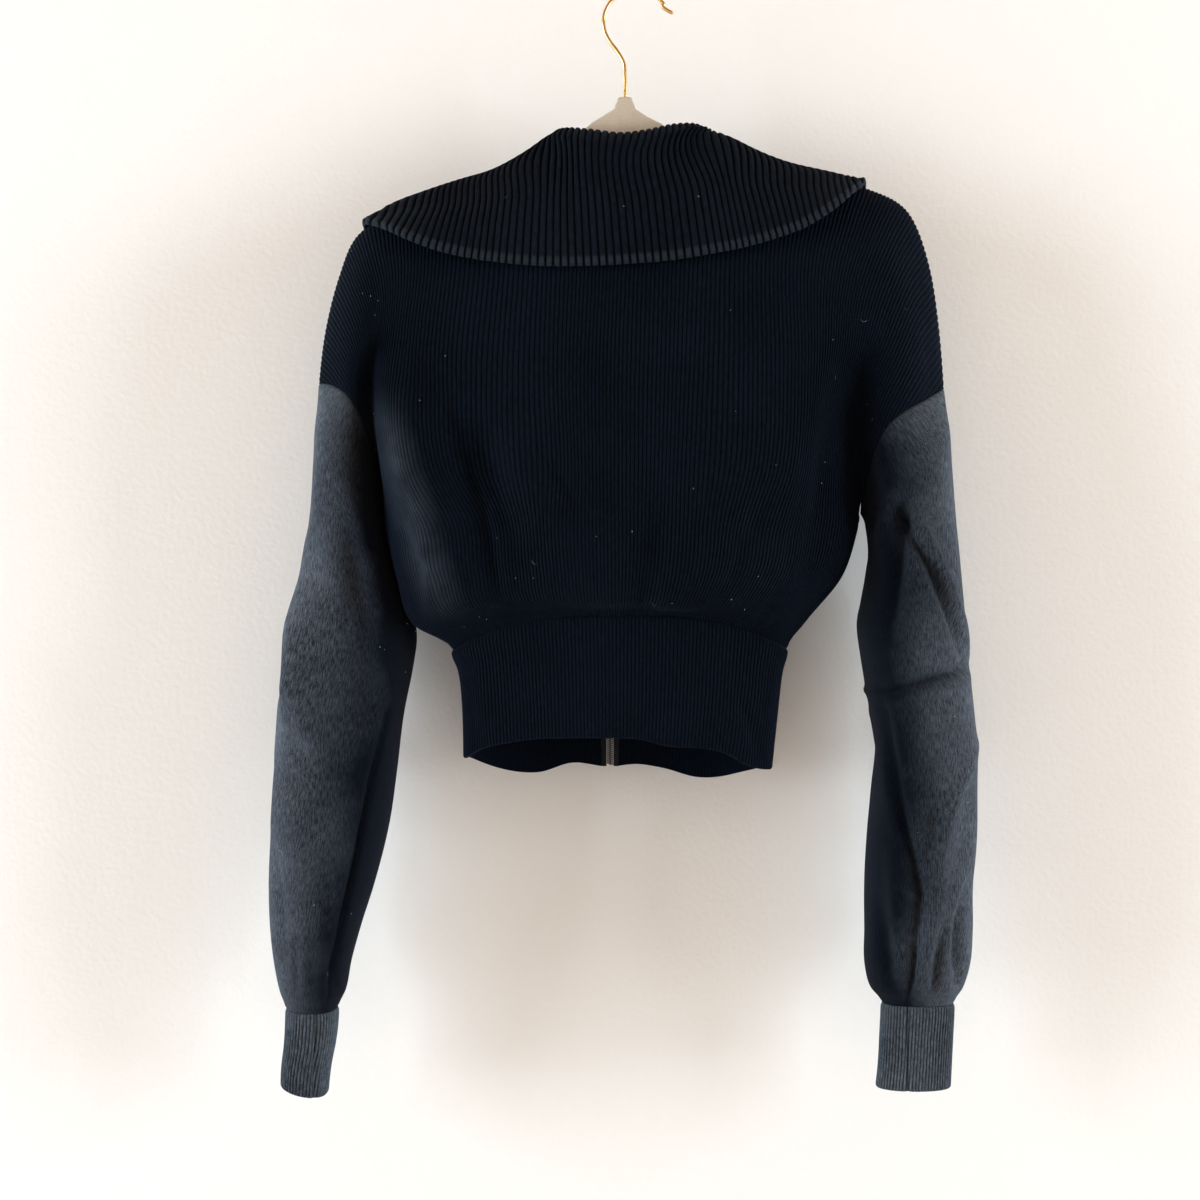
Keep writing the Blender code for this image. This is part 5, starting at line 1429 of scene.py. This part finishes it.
def make_lint():
    """Short curved hairs: each is a thin three-sided tube along part of a circle, laid on a
    chosen place of the cloth and turned at random in its plane."""
    draw = np.random.default_rng(LINT_SEED)
    # a bed's points and normals, how many hairs lie on it, and how high
    beds = [
        (back_points, back_normals, 46, 0.35),
        (collar_points[14:], collar_normals[14:], 16, 1.2),
        (*sleeve_ends["left"], 22, 0.3),
        (*sleeve_ends["right"], 22, 0.3),
    ]
    hairs = []
    for points, normals, count, lift in beds:
        for _ in range(count):
            r = draw.integers(6, points.shape[0] - 6)
            c = draw.integers(6, points.shape[1] - 6)
            long_one = draw.random() < LONG_SHARE
            reach = draw.uniform(3, 7) if long_one else draw.uniform(0.5, 1.3)
            thick = 0.07 if long_one else draw.uniform(0.16, 0.3)
            bend = draw.uniform(0.6, 2.2) if long_one else 0.3
            turn = draw.uniform(0, 2 * math.pi)
            normal = normals[r, c]
            side = unit(np.cross(normal, (0.3, 0.2, 1.0)))
            other = np.cross(normal, side)
            first = side * math.cos(turn) + other * math.sin(turn)
            second = -side * math.sin(turn) + other * math.cos(turn)
            s = np.linspace(-0.5, 0.5, 7)[:, None]
            line = points[r, c] + normal * lift + reach * (first * s + second * bend * s**2)
            radii = thick * np.sqrt(1 - (2 * s * 0.98) ** 2)
            ring = np.radians(np.array((0, 120, 240, 360)))[None]
            around = np.cos(ring)[..., None] * second + np.sin(ring)[..., None] * normal
            hairs.append(line[:, None] + around * radii[:, None])
    material, tree, shader, place = new_material("pale_lint")
    tone = mix_of(tree, noise_of(tree, place, 90), (0.35, 0.35, 0.36), (0.75, 0.74, 0.72))
    set_inputs(tree, shader, {"Base Color": tone, "Roughness": 0.8})
    return grids_mesh("lint", np.stack(hairs), material)


add_piece(make_lint(), "brushed_knit")

# ---------------------------------------------------------------- room
# A pale plastered wall close behind the jacket, a pale floor well below it, cool soft light from
# both sides, and a warm fill. Two lamps beyond the wall light the hidden front.

WALL_Y = 0.076
WALL_HALF = 4
WALL_TOP = 2.5
FLOOR_Z = -1.25
FLOOR_HALF = 5
EYE = (-0.02736, -1.3, -0.46246)
SENSOR = 36
VIEW_WIDTH = 0.912
AIM = (0, 0, -0.45)
LIGHTS = {
    # place, size, power, colour
    "window": ((-4.0, -1.65, -0.1), (1.6, 2.4), 146, (0.80, 0.92, 1.0)),
    "far_window": ((4.0, -1.65, -0.2), (1.5, 2.4), 135, (0.82, 0.93, 1.0)),
    "front_left": ((-1.6, 2.6, 0.3), (1.2, 1.8), 46, (0.95, 0.97, 1.0)),
    "front_right": ((1.9, 2.3, 0.1), (1.0, 1.6), 26, (1.0, 0.96, 0.92)),
}


def plaster_material(name, low, high):
    """Painted plaster with a faint orange-peel relief."""
    material, tree, shader, place = new_material(name)
    tone = mix_of(tree, noise_of(tree, place, 3.0, 3), low, high)
    set_inputs(tree, shader, {"Base Color": tone, "Roughness": 0.75})
    bump_of(tree, shader, noise_of(tree, place, 210, 3, 0.55), 0.0008, 0.35)
    return material


def flat_board(name, corners, material):
    mesh = bpy.data.meshes.new(name)
    mesh.from_pydata(corners, [], [(0, 1, 2, 3)])
    mesh.materials.append(material)
    board = bpy.data.objects.new(name, mesh)
    bpy.context.scene.collection.objects.link(board)


def either_shader(tree, share, first, second, end):
    """Ends a tree in the first shader where the share is 0, and in the second where it is 1."""
    mix = add_node(tree, "MixShader", {"Fac": share, 1: first.outputs[0], 2: second.outputs[0]})
    set_inputs(tree, tree.nodes[end], {"Surface": mix.outputs["Shader"]})


def open_from_behind(material):
    """Lets the wall's back, and light on its way to a lamp, through: the jacket's zipped front
    can then be seen and lit from the wall's far side, while its near side stays solid."""
    tree = material.node_tree
    behind = add_node(tree, "NewGeometry").outputs["Backfacing"]
    shadow = add_node(tree, "LightPath").outputs["Is Shadow Ray"]
    through = math_of(tree, "MAXIMUM", behind, shadow)
    clear = add_node(tree, "BsdfTransparent")
    either_shader(tree, through, tree.nodes["Principled BSDF"], clear, "Material Output")


wall_paint = plaster_material("wall_paint", (0.83, 0.825, 0.815), (0.87, 0.865, 0.855))
open_from_behind(wall_paint)
flat_board("wall", [
    (-WALL_HALF, WALL_Y, FLOOR_Z), (WALL_HALF, WALL_Y, FLOOR_Z), (WALL_HALF, WALL_Y, WALL_TOP),
    (-WALL_HALF, WALL_Y, WALL_TOP),
], wall_paint)
flat_board("floor", [
    (-WALL_HALF, -FLOOR_HALF, FLOOR_Z), (WALL_HALF, -FLOOR_HALF, FLOOR_Z),
    (WALL_HALF, FLOOR_HALF, FLOOR_Z), (-WALL_HALF, FLOOR_HALF, FLOOR_Z),
], plaster_material("floor_paint", (0.72, 0.70, 0.68), (0.76, 0.74, 0.72)))
for name, (place, size, power, colour) in LIGHTS.items():
    light = bpy.data.lights.new(name, "AREA")
    light.shape = "RECTANGLE"
    light.size, light.size_y = size
    light.energy = power
    light.color = colour
    lamp = bpy.data.objects.new(name, light)
    lamp.location = place
    lamp.rotation_euler = (Vector(AIM) - Vector(place)).to_track_quat("-Z", "Y").to_euler()
    bpy.context.scene.collection.objects.link(lamp)
world = bpy.data.worlds.new("pale_room")
world.use_nodes = True
tree = world.node_tree
warm = tree.nodes["Background"]
set_inputs(tree, warm, {"Color": (1.0, 0.70, 0.47, 1), "Strength": 0.46})
pale = add_node(tree, "Background", {"Color": (0.86, 0.85, 0.84, 1)})
seen = add_node(tree, "LightPath").outputs["Is Camera Ray"]
either_shader(tree, seen, warm, pale, "World Output")
bpy.context.scene.world = world
bpy.context.scene.view_settings.view_transform = "Standard"
bpy.context.scene.view_settings.look = "Medium High Contrast"

lens = bpy.data.cameras.new("camera")
lens.lens = SENSOR * -EYE[1] / VIEW_WIDTH
lens.sensor_width = SENSOR
eye = bpy.data.objects.new("camera", lens)
eye.location = EYE
eye.rotation_euler = (math.pi / 2, 0, 0)
bpy.context.scene.collection.objects.link(eye)
bpy.context.scene.camera = eye
